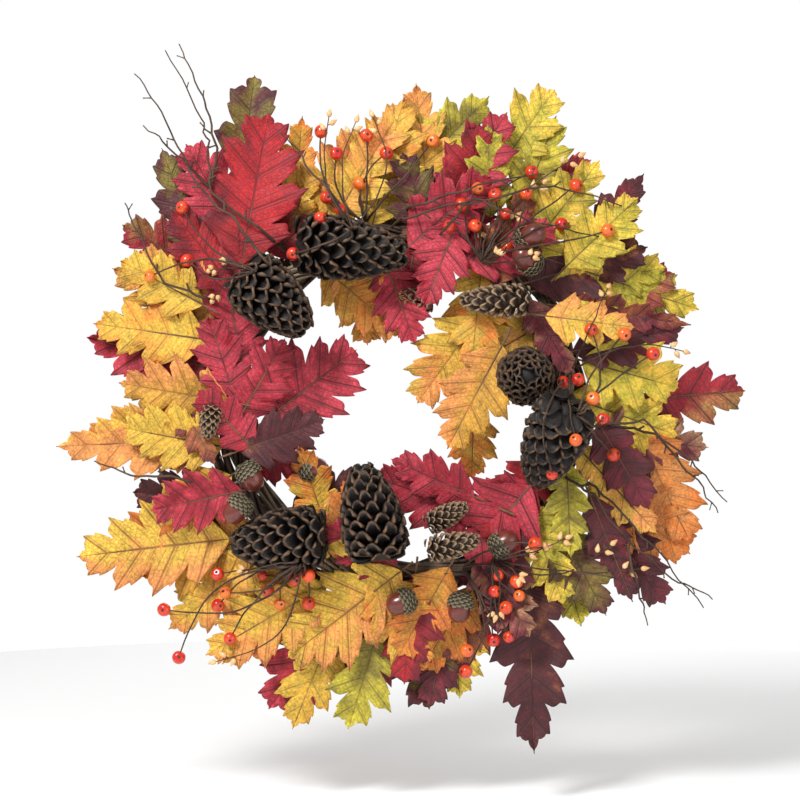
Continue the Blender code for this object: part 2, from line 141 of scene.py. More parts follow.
floor_shape = bmesh.new()
bmesh.ops.create_circle(floor_shape, cap_ends=True, segments=96, radius=FLOOR_RADIUS)
bmesh.ops.translate(floor_shape, verts=floor_shape.verts, vec=(0, 0, low.z - FLOOR_DROP))
floor_mesh = as_mesh(floor_shape, "floor")
floor = bpy.data.objects.new("floor", floor_mesh)
scene.collection.objects.link(floor)
floor_paint = bpy.data.materials.new("floor_paint")
floor_paint.use_nodes = True
floor_shader = floor_paint.node_tree.nodes["Principled BSDF"]
floor_shader.inputs["Base Color"].default_value = (0.95, 0.95, 0.95, 1)
floor_shader.inputs["Roughness"].default_value = 1.0
floor_mesh.materials.append(floor_paint)

# ---- Twig ring.
# The ring is a twisted bundle of thin, peeled and unpeeled twigs, with loose ends standing out.
# Each strand is grown as many twigs, each with its own colour.


def clear_surface(name, roughness, metallic=0.0):
    """A new material with its Principled shader ready for links."""
    material = bpy.data.materials.new(name)
    material.use_nodes = True
    shader = material.node_tree.nodes["Principled BSDF"]
    shader.inputs["Roughness"].default_value = roughness
    shader.inputs["Metallic"].default_value = metallic
    return material, material.node_tree, shader


def group_with(name, inputs, outputs):
    """A shader node group with these named sockets, as its tree, its input node and its output node."""
    tree = bpy.data.node_groups.new(name, "ShaderNodeTree")
    for label, kind, value in inputs:
        socket = tree.interface.new_socket(name=label, in_out="INPUT", socket_type=kind)
        socket.default_value = value
    for label, kind in outputs:
        tree.interface.new_socket(name=label, in_out="OUTPUT", socket_type=kind)
    return tree, tree.nodes.new("NodeGroupInput"), tree.nodes.new("NodeGroupOutput")


def maths(tree, operation, first, second=None, third=None, clamp=False):
    """One Math node; a number is set on its socket and a socket is linked to it."""
    node = tree.nodes.new("ShaderNodeMath")
    node.operation = operation
    node.use_clamp = clamp
    for socket, value in zip(node.inputs, (first, second, third)):
        if isinstance(value, (int, float)):
            socket.default_value = value
        elif value is not None:
            tree.links.new(value, socket)
    return node.outputs[0]


def blended(tree, share, first, second):
    """A colour mixed from two by share."""
    node = tree.nodes.new("ShaderNodeMix")
    node.data_type = "RGBA"
    for socket, value in ((node.inputs[0], share), (node.inputs[6], first), (node.inputs[7], second)):
        if isinstance(value, (int, float)):
            socket.default_value = value
        elif isinstance(value, tuple):
            socket.default_value = (*value, 1.0)
        else:
            tree.links.new(value, socket)
    return node.outputs[2]


def cloudy(tree, scale, detail=4.0, stretch=(1, 1, 1)):
    """Soft noise on the object's own coordinates, from 0 to 1."""
    place = tree.nodes.new("ShaderNodeTexCoord")
    turn = tree.nodes.new("ShaderNodeMapping")
    turn.inputs["Scale"].default_value = stretch
    cloud = tree.nodes.new("ShaderNodeTexNoise")
    cloud.inputs["Scale"].default_value = scale
    cloud.inputs["Detail"].default_value = detail
    tree.links.new(place.outputs["Object"], turn.inputs["Vector"])
    tree.links.new(turn.outputs["Vector"], cloud.inputs["Vector"])
    return cloud.outputs["Fac"]


bark_tree, bark_in, bark_out = group_with(
    "bark_grain",
    [("Dark", "NodeSocketColor", (0, 0, 0, 1)), ("Light", "NodeSocketColor", (1, 1, 1, 1))],
    [("Color", "NodeSocketColor"), ("Height", "NodeSocketFloat"), ("Roughness", "NodeSocketFloat")],
)
patches = cloudy(bark_tree, 60)
specks = cloudy(bark_tree, 700, 3)
patch_share = maths(bark_tree, "MULTIPLY_ADD", patches, 2.6, -0.8, clamp=True)
bark_colour = blended(bark_tree, patch_share, bark_in.outputs["Dark"], bark_in.outputs["Light"])
bark_tree.links.new(bark_colour, bark_out.inputs["Color"])
bark_tree.links.new(specks, bark_out.inputs["Height"])
bark_roughness = maths(bark_tree, "MULTIPLY_ADD", specks, 0.3, 0.55)
bark_tree.links.new(bark_roughness, bark_out.inputs["Roughness"])


def bump_on(tree, shader, height, distance):
    """Raises the surface by this height times this distance (m)."""
    bump = tree.nodes.new("ShaderNodeBump")
    bump.inputs["Distance"].default_value = distance
    bump.inputs["Strength"].default_value = 1.0
    tree.links.new(height, bump.inputs["Height"])
    tree.links.new(bump.outputs["Normal"], shader.inputs["Normal"])


def grouped(name, group, values, roughness, grain_depth):
    """A material painted by a shared node group, and its shader, from the group's named inputs."""
    material, tree, shader = clear_surface(name, roughness)
    painter = tree.nodes.new("ShaderNodeGroup")
    painter.node_tree = group
    for label, value in values.items():
        painter.inputs[label].default_value = (*value, 1) if isinstance(value, tuple) else value
    tree.links.new(painter.outputs["Color"], shader.inputs["Base Color"])
    if "Roughness" in painter.outputs:
        tree.links.new(painter.outputs["Roughness"], shader.inputs["Roughness"])
    bump_on(tree, shader, painter.outputs["Height"], grain_depth)
    return material, shader


def bark(name, dark, light):
    """Dry twig bark, from its dark and its light colour."""
    return grouped(name, bark_tree, {"Dark": dark, "Light": light}, 0.8, 0.0006)[0]


def rods(routes, sides=1, closed=False):
    """A mesh of round rods, each route a list of (point, radius), made by a bevelled curve."""
    curve = bpy.data.curves.new("rods", "CURVE")
    curve.dimensions = "3D"
    curve.bevel_depth = 1.0
    curve.bevel_resolution = sides
    curve.use_fill_caps = True
    for route in routes:
        spline = curve.splines.new("POLY")
        spline.points.add(len(route) - 1)
        spline.use_cyclic_u = closed
        for knot, (point, radius) in zip(spline.points, route):
            knot.co = (*point, 1)
            knot.radius = radius
    holder = bpy.data.objects.new("rods", curve)
    mesh = bpy.data.meshes.new_from_object(holder)
    bpy.data.objects.remove(holder)
    bpy.data.curves.remove(curve)
    return mesh


def finish_piece(name, mesh, materials, body="wreath", smooth=True):
    """Links a mesh as a piece that rides on a body."""
    mesh.name = name
    for material in materials:
        mesh.materials.append(material)
    if smooth:
        mesh.shade_smooth()
    piece = bpy.data.objects.new(name, mesh)
    scene.collection.objects.link(piece)
    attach(piece, body)
    return piece


def add_rods(shape, routes, slot):
    """Adds round rods to the shape, in this material slot."""
    mesh = rods(routes)
    first = len(shape.faces)
    shape.from_mesh(mesh)
    shape.faces.ensure_lookup_table()
    for face in shape.faces[first:]:
        face.material_index = slot
        face.smooth = True
    bpy.data.meshes.remove(mesh)


TWIGS_A_STRAND = 22
TWIG_POINTS = 150
TWIG_STEP = 2.4
TAPER_POINTS = 18
STRAND_SHARE = 0.44
STRAND_FILL = 0.86
STRAND_TWISTS = 3
STRAND_START = 2.1
ring_bark = bark("ring_bark", (0.030, 0.018, 0.012), (0.16, 0.10, 0.06))
pale_bark = bark("pale_bark", (0.06, 0.04, 0.025), (0.30, 0.22, 0.14))
dark_bark = bark("dark_bark", (0.022, 0.011, 0.007), (0.095, 0.050, 0.028))
strand_nodes = sorted(n for n in nodes if n.startswith("twig_ring"))
strand_radius = bundle_radius * STRAND_SHARE
strand_offset = bundle_radius - strand_radius
random.seed(3)
for number, node in enumerate(strand_nodes):
    routes = []
    for twig in range(TWIGS_A_STRAND):
        spot = math.sqrt((twig + 0.5) / TWIGS_A_STRAND) * STRAND_FILL * strand_radius
        spin = twig * TWIG_STEP
        thickness = random.uniform(0.0010, 0.0019)
        drift = random.uniform(0, 6)
        start = random.uniform(0, 2 * math.pi)
        whole = random.uniform(4.5, 6.1)
        route = []
        for i in range(TWIG_POINTS):
            turn = start + whole * i / (TWIG_POINTS - 1)
            twist = STRAND_TWISTS * turn + 2 * math.pi * number / 3 + STRAND_START
            inner = spin + 1.5 * turn + 0.4 * math.sin(5 * turn + drift)
            out = strand_offset * math.cos(twist) + spot * math.cos(inner)
            side = strand_offset * math.sin(twist) + spot * math.sin(inner)
            reach = ring_radius + out
            place = Vector((reach * math.cos(turn), side, reach * math.sin(turn)))
            taper = min(1.0, 0.35 + min(i, TWIG_POINTS - 1 - i) / TAPER_POINTS)
            route.append((ring_centre + place, thickness * taper))
        routes.append(route)
    colour = (ring_bark, pale_bark, dark_bark)[number]
    strand = finish_piece(f"twig_bundle_{number + 1}", rods(routes), [colour])
    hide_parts(node)

# ---- Leaves.
# Each leaf is printed, heat-pressed cloth on a wired stalk: lobed like oak, with pointed teeth,
# quilted between its side veins, and curled a little. Each CAD leaf gives one its size and place.
VEIN_FOOT_ANGLE = math.radians(74)
VEIN_TIP_ANGLE = math.radians(33)
LOBE_POINT = 0.6
TEETH_A_LOBE = 3
TOOTH_DEPTH = 0.13
ROWS_A_LOBE = 27
COLUMNS = 12
CLOTH_THICKNESS = 0.0004
SPREAD = 1.12
VEIN_SHARPNESS = 24.0
FINE_VEINS = 3.0
NET_SCALE = 260
QUILT_HEIGHT = 0.0020
WAVES = 22
WAVE_HEIGHT = 0.010
RUFFLES = 70
RUFFLE_HEIGHT = 0.0045
RIB_POINTS = 25
RIB_SINK = 0.0002

print_tree, print_in, print_out = group_with(
    "leaf_print",
    [
        ("Main", "NodeSocketColor", (1, 1, 1, 1)),
        ("Second", "NodeSocketColor", (1, 1, 1, 1)),
        ("Vein", "NodeSocketColor", (0, 0, 0, 1)),
        ("Lobes", "NodeSocketFloat", 4.5),
        ("Tip", "NodeSocketFloat", 0.5),
        ("Edge", "NodeSocketFloat", 0.0),
        ("Side", "NodeSocketFloat", 0.0),
        ("Vein strength", "NodeSocketFloat", 0.6),
    ],
    [("Color", "NodeSocketColor"), ("Height", "NodeSocketFloat"), ("Roughness", "NodeSocketFloat")],
)
tree = print_tree
leaf_map = tree.nodes.new("ShaderNodeUVMap")
leaf_map.uv_map = "leaf"
split = tree.nodes.new("ShaderNodeSeparateXYZ")
tree.links.new(leaf_map.outputs["UV"], split.inputs["Vector"])
across = maths(tree, "MULTIPLY_ADD", split.outputs["X"], 2.0, -1.0)
out_from_rib = maths(tree, "ABSOLUTE", across)
along = split.outputs["Y"]
# Side veins run out at the middle of each lobe, and finer ones between them.
lobe_place = maths(tree, "FRACT", maths(tree, "MULTIPLY", along, print_in.outputs["Lobes"]))
from_vein = maths(tree, "ABSOLUTE", maths(tree, "SUBTRACT", lobe_place, LOBE_POINT))
side_vein = maths(tree, "SUBTRACT", 1.1, maths(tree, "MULTIPLY", from_vein, VEIN_SHARPNESS), clamp=True)
mid_rib = maths(tree, "SUBTRACT", 1.2, maths(tree, "MULTIPLY", out_from_rib, VEIN_SHARPNESS), clamp=True)
by_vein = maths(tree, "SUBTRACT", 0.5, maths(tree, "MULTIPLY", from_vein, 3.0), clamp=True)
by_rib = maths(tree, "SUBTRACT", 0.5, maths(tree, "MULTIPLY", out_from_rib, 2.4), clamp=True)
fine_count = maths(tree, "MULTIPLY", print_in.outputs["Lobes"], FINE_VEINS)
fine_place = maths(tree, "FRACT", maths(tree, "MULTIPLY", along, fine_count))
from_fine = maths(tree, "ABSOLUTE", maths(tree, "SUBTRACT", fine_place, 0.5))
fine_vein = maths(tree, "SUBTRACT", 0.6, maths(tree, "MULTIPLY", from_fine, 5.0), clamp=True)
net_place = tree.nodes.new("ShaderNodeTexCoord")
net = tree.nodes.new("ShaderNodeTexVoronoi")
net.feature = "DISTANCE_TO_EDGE"
net.inputs["Scale"].default_value = NET_SCALE
tree.links.new(net_place.outputs["Object"], net.inputs["Vector"])
net_vein = maths(tree, "SUBTRACT", 0.42, maths(tree, "MULTIPLY", net.outputs["Distance"], 3.2), clamp=True)
strong_veins = maths(tree, "MAXIMUM", side_vein, mid_rib)
weak_veins = maths(tree, "MAXIMUM", fine_vein, net_vein)
veins = maths(tree, "MAXIMUM", strong_veins, weak_veins)
blotch = cloudy(tree, 26, 5)
grain = cloudy(tree, 420, 3)
tip_part = maths(tree, "MULTIPLY", along, print_in.outputs["Tip"])
edge_part = maths(tree, "MULTIPLY", out_from_rib, print_in.outputs["Edge"])
side_part = maths(tree, "MULTIPLY", across, print_in.outputs["Side"])
total = maths(tree, "ADD", maths(tree, "ADD", tip_part, edge_part), side_part)
stains = cloudy(tree, 70, 5)
mixed = maths(tree, "ADD", maths(tree, "SUBTRACT", blotch, 0.5), maths(tree, "SUBTRACT", stains, 0.5))
mottled = maths(tree, "ADD", total, maths(tree, "MULTIPLY", mixed, 2.6), clamp=True)
ground = blended(tree, mottled, print_in.outputs["Main"], print_in.outputs["Second"])
halo = maths(tree, "MULTIPLY", maths(tree, "ADD", by_vein, by_rib), maths(tree, "ADD", stains, -0.1))
veins = maths(tree, "ADD", veins, halo, clamp=True)
darkening = maths(tree, "MULTIPLY", veins, print_in.outputs["Vein strength"])
darkening = maths(tree, "MULTIPLY", darkening, 1.35, clamp=True)
veined = blended(tree, darkening, ground, print_in.outputs["Vein"])
speckled = tree.nodes.new("ShaderNodeHueSaturation")
tree.links.new(veined, speckled.inputs["Color"])
shade = maths(tree, "MULTIPLY_ADD", maths(tree, "ADD", grain, stains), 1.3, -0.35)
tree.links.new(shade, speckled.inputs["Value"])
tree.links.new(speckled.outputs["Color"], print_out.inputs["Color"])
cloth_height = maths(tree, "SUBTRACT", maths(tree, "MULTIPLY", grain, 0.5), veins)
tree.links.new(cloth_height, print_out.inputs["Height"])
cloth_roughness = maths(tree, "MULTIPLY_ADD", grain, 0.3, 0.5)
tree.links.new(cloth_roughness, print_out.inputs["Roughness"])


def leaf_cloth(name, look, lobes):
    """Printed cloth: (main, second, vein, tip, edge, side, vein strength)."""
    values = dict(zip(("Main", "Second", "Vein", "Tip", "Edge", "Side", "Vein strength"), look))
    values["Lobes"] = lobes + 0.5
    material, shader = grouped(name, print_tree, values, 0.7, 0.0005)
    shader.inputs["Sheen Weight"].default_value = 0.08
    shader.inputs["Sheen Roughness"].default_value = 0.5
    return material


def lobe_reach(share, lobes, slot_depth):
    """How far a side vein runs at this share of the blade: pointed lobes, narrow slots, sharp teeth."""
    swell = math.sin(math.pi * min(1.0, share + 0.01) ** 0.66) ** 0.72
    swell *= min(1.0, share / 0.14) ** 0.4 * min(1.0, (1 - share) / 0.16) ** 0.55
    lobe = share * (lobes + 0.5) % 1.0
    climb = lobe / LOBE_POINT if lobe < LOBE_POINT else (1 - lobe) / (1 - LOBE_POINT)
    slot = 1 - slot_depth * min(1.0, share * 7, (1 - share) * 5)
    saw = (lobe * TEETH_A_LOBE + 0.95) % 1.0
    tooth = TOOTH_DEPTH * (saw / 0.75 if saw < 0.75 else (1 - saw) / 0.25)
    return swell * (slot + (1.06 - slot) * climb ** 0.5 + tooth - 0.5 * TOOTH_DEPTH)


def leaf_mesh(length, width, lobes, stalk, curl, seed):
    """A leaf lying along +X with its face to -Y: the blade, then its stalk and raised mid rib."""
    reach = width / 2
    slot_depth = 0.54 + 0.24 * noise.noise(Vector((seed * 1.7, 3.1, 0)))
    fold = 0.10 + 0.25 * noise.noise(Vector((seed * 2.3, 7.7, 0)))
    rows = int((lobes + 0.5) * ROWS_A_LOBE)
    shape = bmesh.new()
    leaf_uv = shape.loops.layers.uv.new("leaf")
    bmesh.ops.create_grid(shape, x_segments=COLUMNS, y_segments=rows, size=1)
    for face in shape.faces:
        face.smooth = True
        for loop in face.loops:
            place = loop.vert.co
            loop[leaf_uv].uv = (0.5 + place.x / 2, 0.5 + place.y / 2)
    for vert in shape.verts:
        side, share = vert.co.x, (vert.co.y + 1) / 2
        part = math.copysign(4.0, side) + share * lobes * 0.7
        uneven = 1 + 0.20 * noise.noise(Vector((part, seed * 3.3, 0)))
        run = abs(side) * reach * lobe_reach(share, lobes, slot_depth) * uneven
        turn = VEIN_FOOT_ANGLE + (VEIN_TIP_ANGLE - VEIN_FOOT_ANGLE) * share
        ahead = share * length + run * math.cos(turn)
        out = math.copysign(run * math.sin(turn) + 0.0002 * abs(side), side)
        puff = math.sin(math.pi * (share * (lobes + 0.5) - 0.1)) ** 2
        quilt = QUILT_HEIGHT * puff * abs(side) * (1.3 - abs(side))
        wave = noise.noise(Vector((ahead * WAVES, out * WAVES, seed)))
        wave = wave * WAVE_HEIGHT * (abs(side) + share) / 1.4
        ruffle = noise.noise(Vector((ahead * RUFFLES, out * RUFFLES, seed + 9)))
        ruffle = ruffle * RUFFLE_HEIGHT * side * side
        bow = curl * (share * share + 0.6 * (out / (width / 2)) ** 2) + fold * abs(out)
        vert.co = (ahead, -(quilt + wave + ruffle + bow), out)
    bmesh.ops.remove_doubles(shape, verts=shape.verts, dist=0.00005)
    bmesh.ops.recalc_face_normals(shape, faces=shape.faces)
    bmesh.ops.solidify(shape, geom=shape.faces[:], thickness=CLOTH_THICKNESS)
    rib = []
    for i in range(RIB_POINTS):
        share = i / (RIB_POINTS - 1)
        wave = noise.noise(Vector((share * length * WAVES, 0, seed))) * WAVE_HEIGHT * share / 1.4
        place = (share * length * 0.96, RIB_SINK - wave - curl * share * share, 0)
        rib.append((place, 0.00095 - 0.00075 * share))
    if stalk:
        rib = [((-stalk * (1 - i / 6), RIB_SINK, 0), 0.0011) for i in range(6)] + rib
    add_rods(shape, [rib], 1)
    return shape


def lay_leaf(name, base, heading, lean, length, width, lobes, stalk, look, curl, seed):
    """A leaf piece whose blade starts at the base, turned by its heading and its lean."""
    shape = leaf_mesh(length, width, lobes, stalk, curl, seed)
    turn = Matrix.Rotation(-heading, 4, "Y") @ Matrix.Rotation(-lean, 4, "Z")
    bmesh.ops.transform(shape, matrix=Matrix.Translation(base) @ turn, verts=shape.verts)
    return finish_piece(name, as_mesh(shape, name), [leaf_cloth(name + "_cloth", look, lobes), stalk_paint])


stalk_paint = bark("stalk_paint", (0.10, 0.045, 0.025), (0.22, 0.12, 0.06))
CRIMSON, ROSE, RED = (0.38, 0.010, 0.026), (0.60, 0.045, 0.075), (0.52, 0.012, 0.018)
BURGUNDY, PLUM, WINE = (0.085, 0.010, 0.014), (0.19, 0.014, 0.028), (0.14, 0.006, 0.014)
YELLOW, GOLD, PEACH = (0.86, 0.54, 0.06), (0.66, 0.34, 0.035), (0.80, 0.31, 0.075)
ORANGE, RUST = (0.70, 0.19, 0.025), (0.34, 0.10, 0.025)
LIME, OLIVE = (0.56, 0.47, 0.035), (0.30, 0.24, 0.025)
DARK_VEIN, RED_VEIN = (0.04, 0.006, 0.008), (0.12, 0.003, 0.008)
BROWN_VEIN, GREEN_VEIN = (0.22, 0.06, 0.012), (0.14, 0.10, 0.01)
# Each look is main colour, second colour, vein colour, then how far the second
# colour comes from the tip, the edge and one side, and how strong the veins are.
LOOKS = {
    "burgundy_oak_leaf_1": (BURGUNDY, (0.36, 0.12, 0.03), DARK_VEIN, -0.2, -0.4, 0.15, 0.6),
    "burgundy_oak_leaf_2": (BURGUNDY, PLUM, DARK_VEIN, 0.4, 0.2, 0.0, 0.5),
    "burgundy_oak_leaf_3": (PLUM, RUST, DARK_VEIN, 0.6, 0.0, 0.2, 0.5),
    "crimson_oak_leaf_1": (BURGUNDY, PLUM, DARK_VEIN, 0.5, 0.3, 0.0, 0.5),
    "crimson_oak_leaf_2": (CRIMSON, (0.34, 0.16, 0.04), DARK_VEIN, 0.75, -0.3, -0.5, 0.6),
    "crimson_oak_leaf_3": (ROSE, CRIMSON, RED_VEIN, 0.3, 0.5, 0.0, 0.75),
    "crimson_oak_leaf_4": (CRIMSON, ROSE, RED_VEIN, 0.4, 0.3, 0.1, 0.7),
    "crimson_oak_leaf_5": (PLUM, (0.40, 0.20, 0.10), DARK_VEIN, 0.3, 0.4, 0.3, 0.6),
    "orange_oak_leaf_3": (YELLOW, ORANGE, BROWN_VEIN, 0.9, 0.2, 0.1, 0.5),
    "red_oak_leaf_1": (RED, WINE, RED_VEIN, 0.1, 0.5, 0.1, 0.6),
    "red_oak_leaf_2": (CRIMSON, ROSE, RED_VEIN, 0.4, 0.4, 0.2, 0.75),
    "olive_oak_leaf_1": (OLIVE, BURGUNDY, DARK_VEIN, 0.35, 0.75, 0.0, 0.6),
    "yellow_oak_leaf_1": (YELLOW, ORANGE, BROWN_VEIN, 0.5, 0.2, 0.0, 0.4),
    "yellow_oak_leaf_2": (YELLOW, PEACH, BROWN_VEIN, 0.2, 0.5, 0.4, 0.45),
    "yellow_oak_leaf_3": (YELLOW, PEACH, BROWN_VEIN, 0.8, 0.0, 0.1, 0.45),
    "yellow_oak_leaf_4": (GOLD, PEACH, BROWN_VEIN, 0.2, 0.4, -0.9, 0.5),
    "yellow_oak_leaf_5": (YELLOW, PEACH, BROWN_VEIN, 0.1, 0.3, 0.9, 0.6),
    "yellow_oak_leaf_6": (YELLOW, GOLD, GREEN_VEIN, 0.3, 0.4, 0.2, 0.4),
    "yellow_oak_leaf_7": (YELLOW, PEACH, BROWN_VEIN, 0.8, 0.2, 0.1, 0.4),
    "orange_oak_leaf_1": (PEACH, ORANGE, BROWN_VEIN, 0.4, 0.5, 0.1, 0.4),
    "orange_oak_leaf_2": (GOLD, ORANGE, BROWN_VEIN, 0.5, 0.5, 0.0, 0.5),
    "peach_oak_leaf_1": (PEACH, YELLOW, BROWN_VEIN, -0.2, 0.2, -0.5, 0.4),
    "peach_oak_leaf_2": (YELLOW, PEACH, BROWN_VEIN, 0.1, 0.3, 0.8, 0.6),
    "green_oak_leaf_1": (LIME, YELLOW, GREEN_VEIN, 0.2, 0.4, 0.2, 0.5),
    "green_oak_leaf_2": (OLIVE, LIME, GREEN_VEIN, 0.8, 0.4, 0.0, 0.5),
    "green_oak_leaf_3": (LIME, YELLOW, GREEN_VEIN, 0.3, 0.4, 0.0, 0.5),
    "green_oak_leaf_4": (LIME, YELLOW, GREEN_VEIN, 0.4, 0.4, 0.1, 0.4),
}
# Lobes on each side, where a leaf hasn't four.
LOBES = {
    "crimson_oak_leaf_1": 3, "olive_oak_leaf_1": 2, "crimson_oak_leaf_2": 3, "green_oak_leaf_1": 3,
    "yellow_oak_leaf_3": 5, "green_oak_leaf_4": 3, "orange_oak_leaf_2": 3, "yellow_oak_leaf_5": 5,
    "crimson_oak_leaf_3": 3, "crimson_oak_leaf_4": 3, "crimson_oak_leaf_5": 3, "orange_oak_leaf_3": 3,
}


def corners_of(node):
    """The CAD piece's corners, each once, to a hundredth of a millimetre."""
    mesh = bpy.data.objects[node].data
    points = np.empty(len(mesh.vertices) * 3, np.float32)
    mesh.vertices.foreach_get("co", points)
    return np.unique(np.round(points.reshape(-1, 3).astype(float), 5), axis=0)


def leaf_facts(node):
    """Where a CAD leaf's blade starts, its heading, lean, blade length, width and stalk length."""
    points = corners_of(node)
    flat = points[:, [0, 2]]
    gaps = np.linalg.norm(flat[:, None] - flat[None], axis=2)
    first, second = np.unravel_index(gaps.argmax(), gaps.shape)

    def spread(start, end):
        way = (flat[end] - flat[start]) / gaps.max()
        run = (flat - flat[start]) @ way
        side = (flat - flat[start]) @ np.array([-way[1], way[0]])
        near = run < 0.012
        return np.ptp(side[near]), run, side

    first_is_thin = spread(first, second)[0] < spread(second, first)[0]
    stalk_end, tip = (first, second) if first_is_thin else (second, first)
    run, side = spread(stalk_end, tip)[1:]
    foot_side = side[run < 0.006].mean()
    blade = np.abs(side - foot_side) > 0.0027
    start = max(0.0, run[blade].min() - 0.004)
    way = Vector((*(flat[tip] - flat[stalk_end]), 0)).normalized()
    foot = flat[stalk_end] + start * np.array(way[:2])
    slope, level = np.polyfit(run, points[:, 1], 1)
    base = Vector((foot[0], level + slope * start, foot[1]))
    width = 2 * np.abs(side - foot_side).max()
    return base, math.atan2(way.y, way.x), -math.atan(slope), gaps.max() - start, width, start


random.seed(11)
for number, node in enumerate(sorted(LOOKS)):
    base, heading, lean, length, width, stalk = leaf_facts(node)
    curl = random.uniform(-0.005, 0.008)
    leaf = lay_leaf(node + "_cloth", base, heading, lean, length, width * SPREAD, LOBES.get(node, 4), stalk,
                    LOOKS[node], curl, number)
    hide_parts(node)

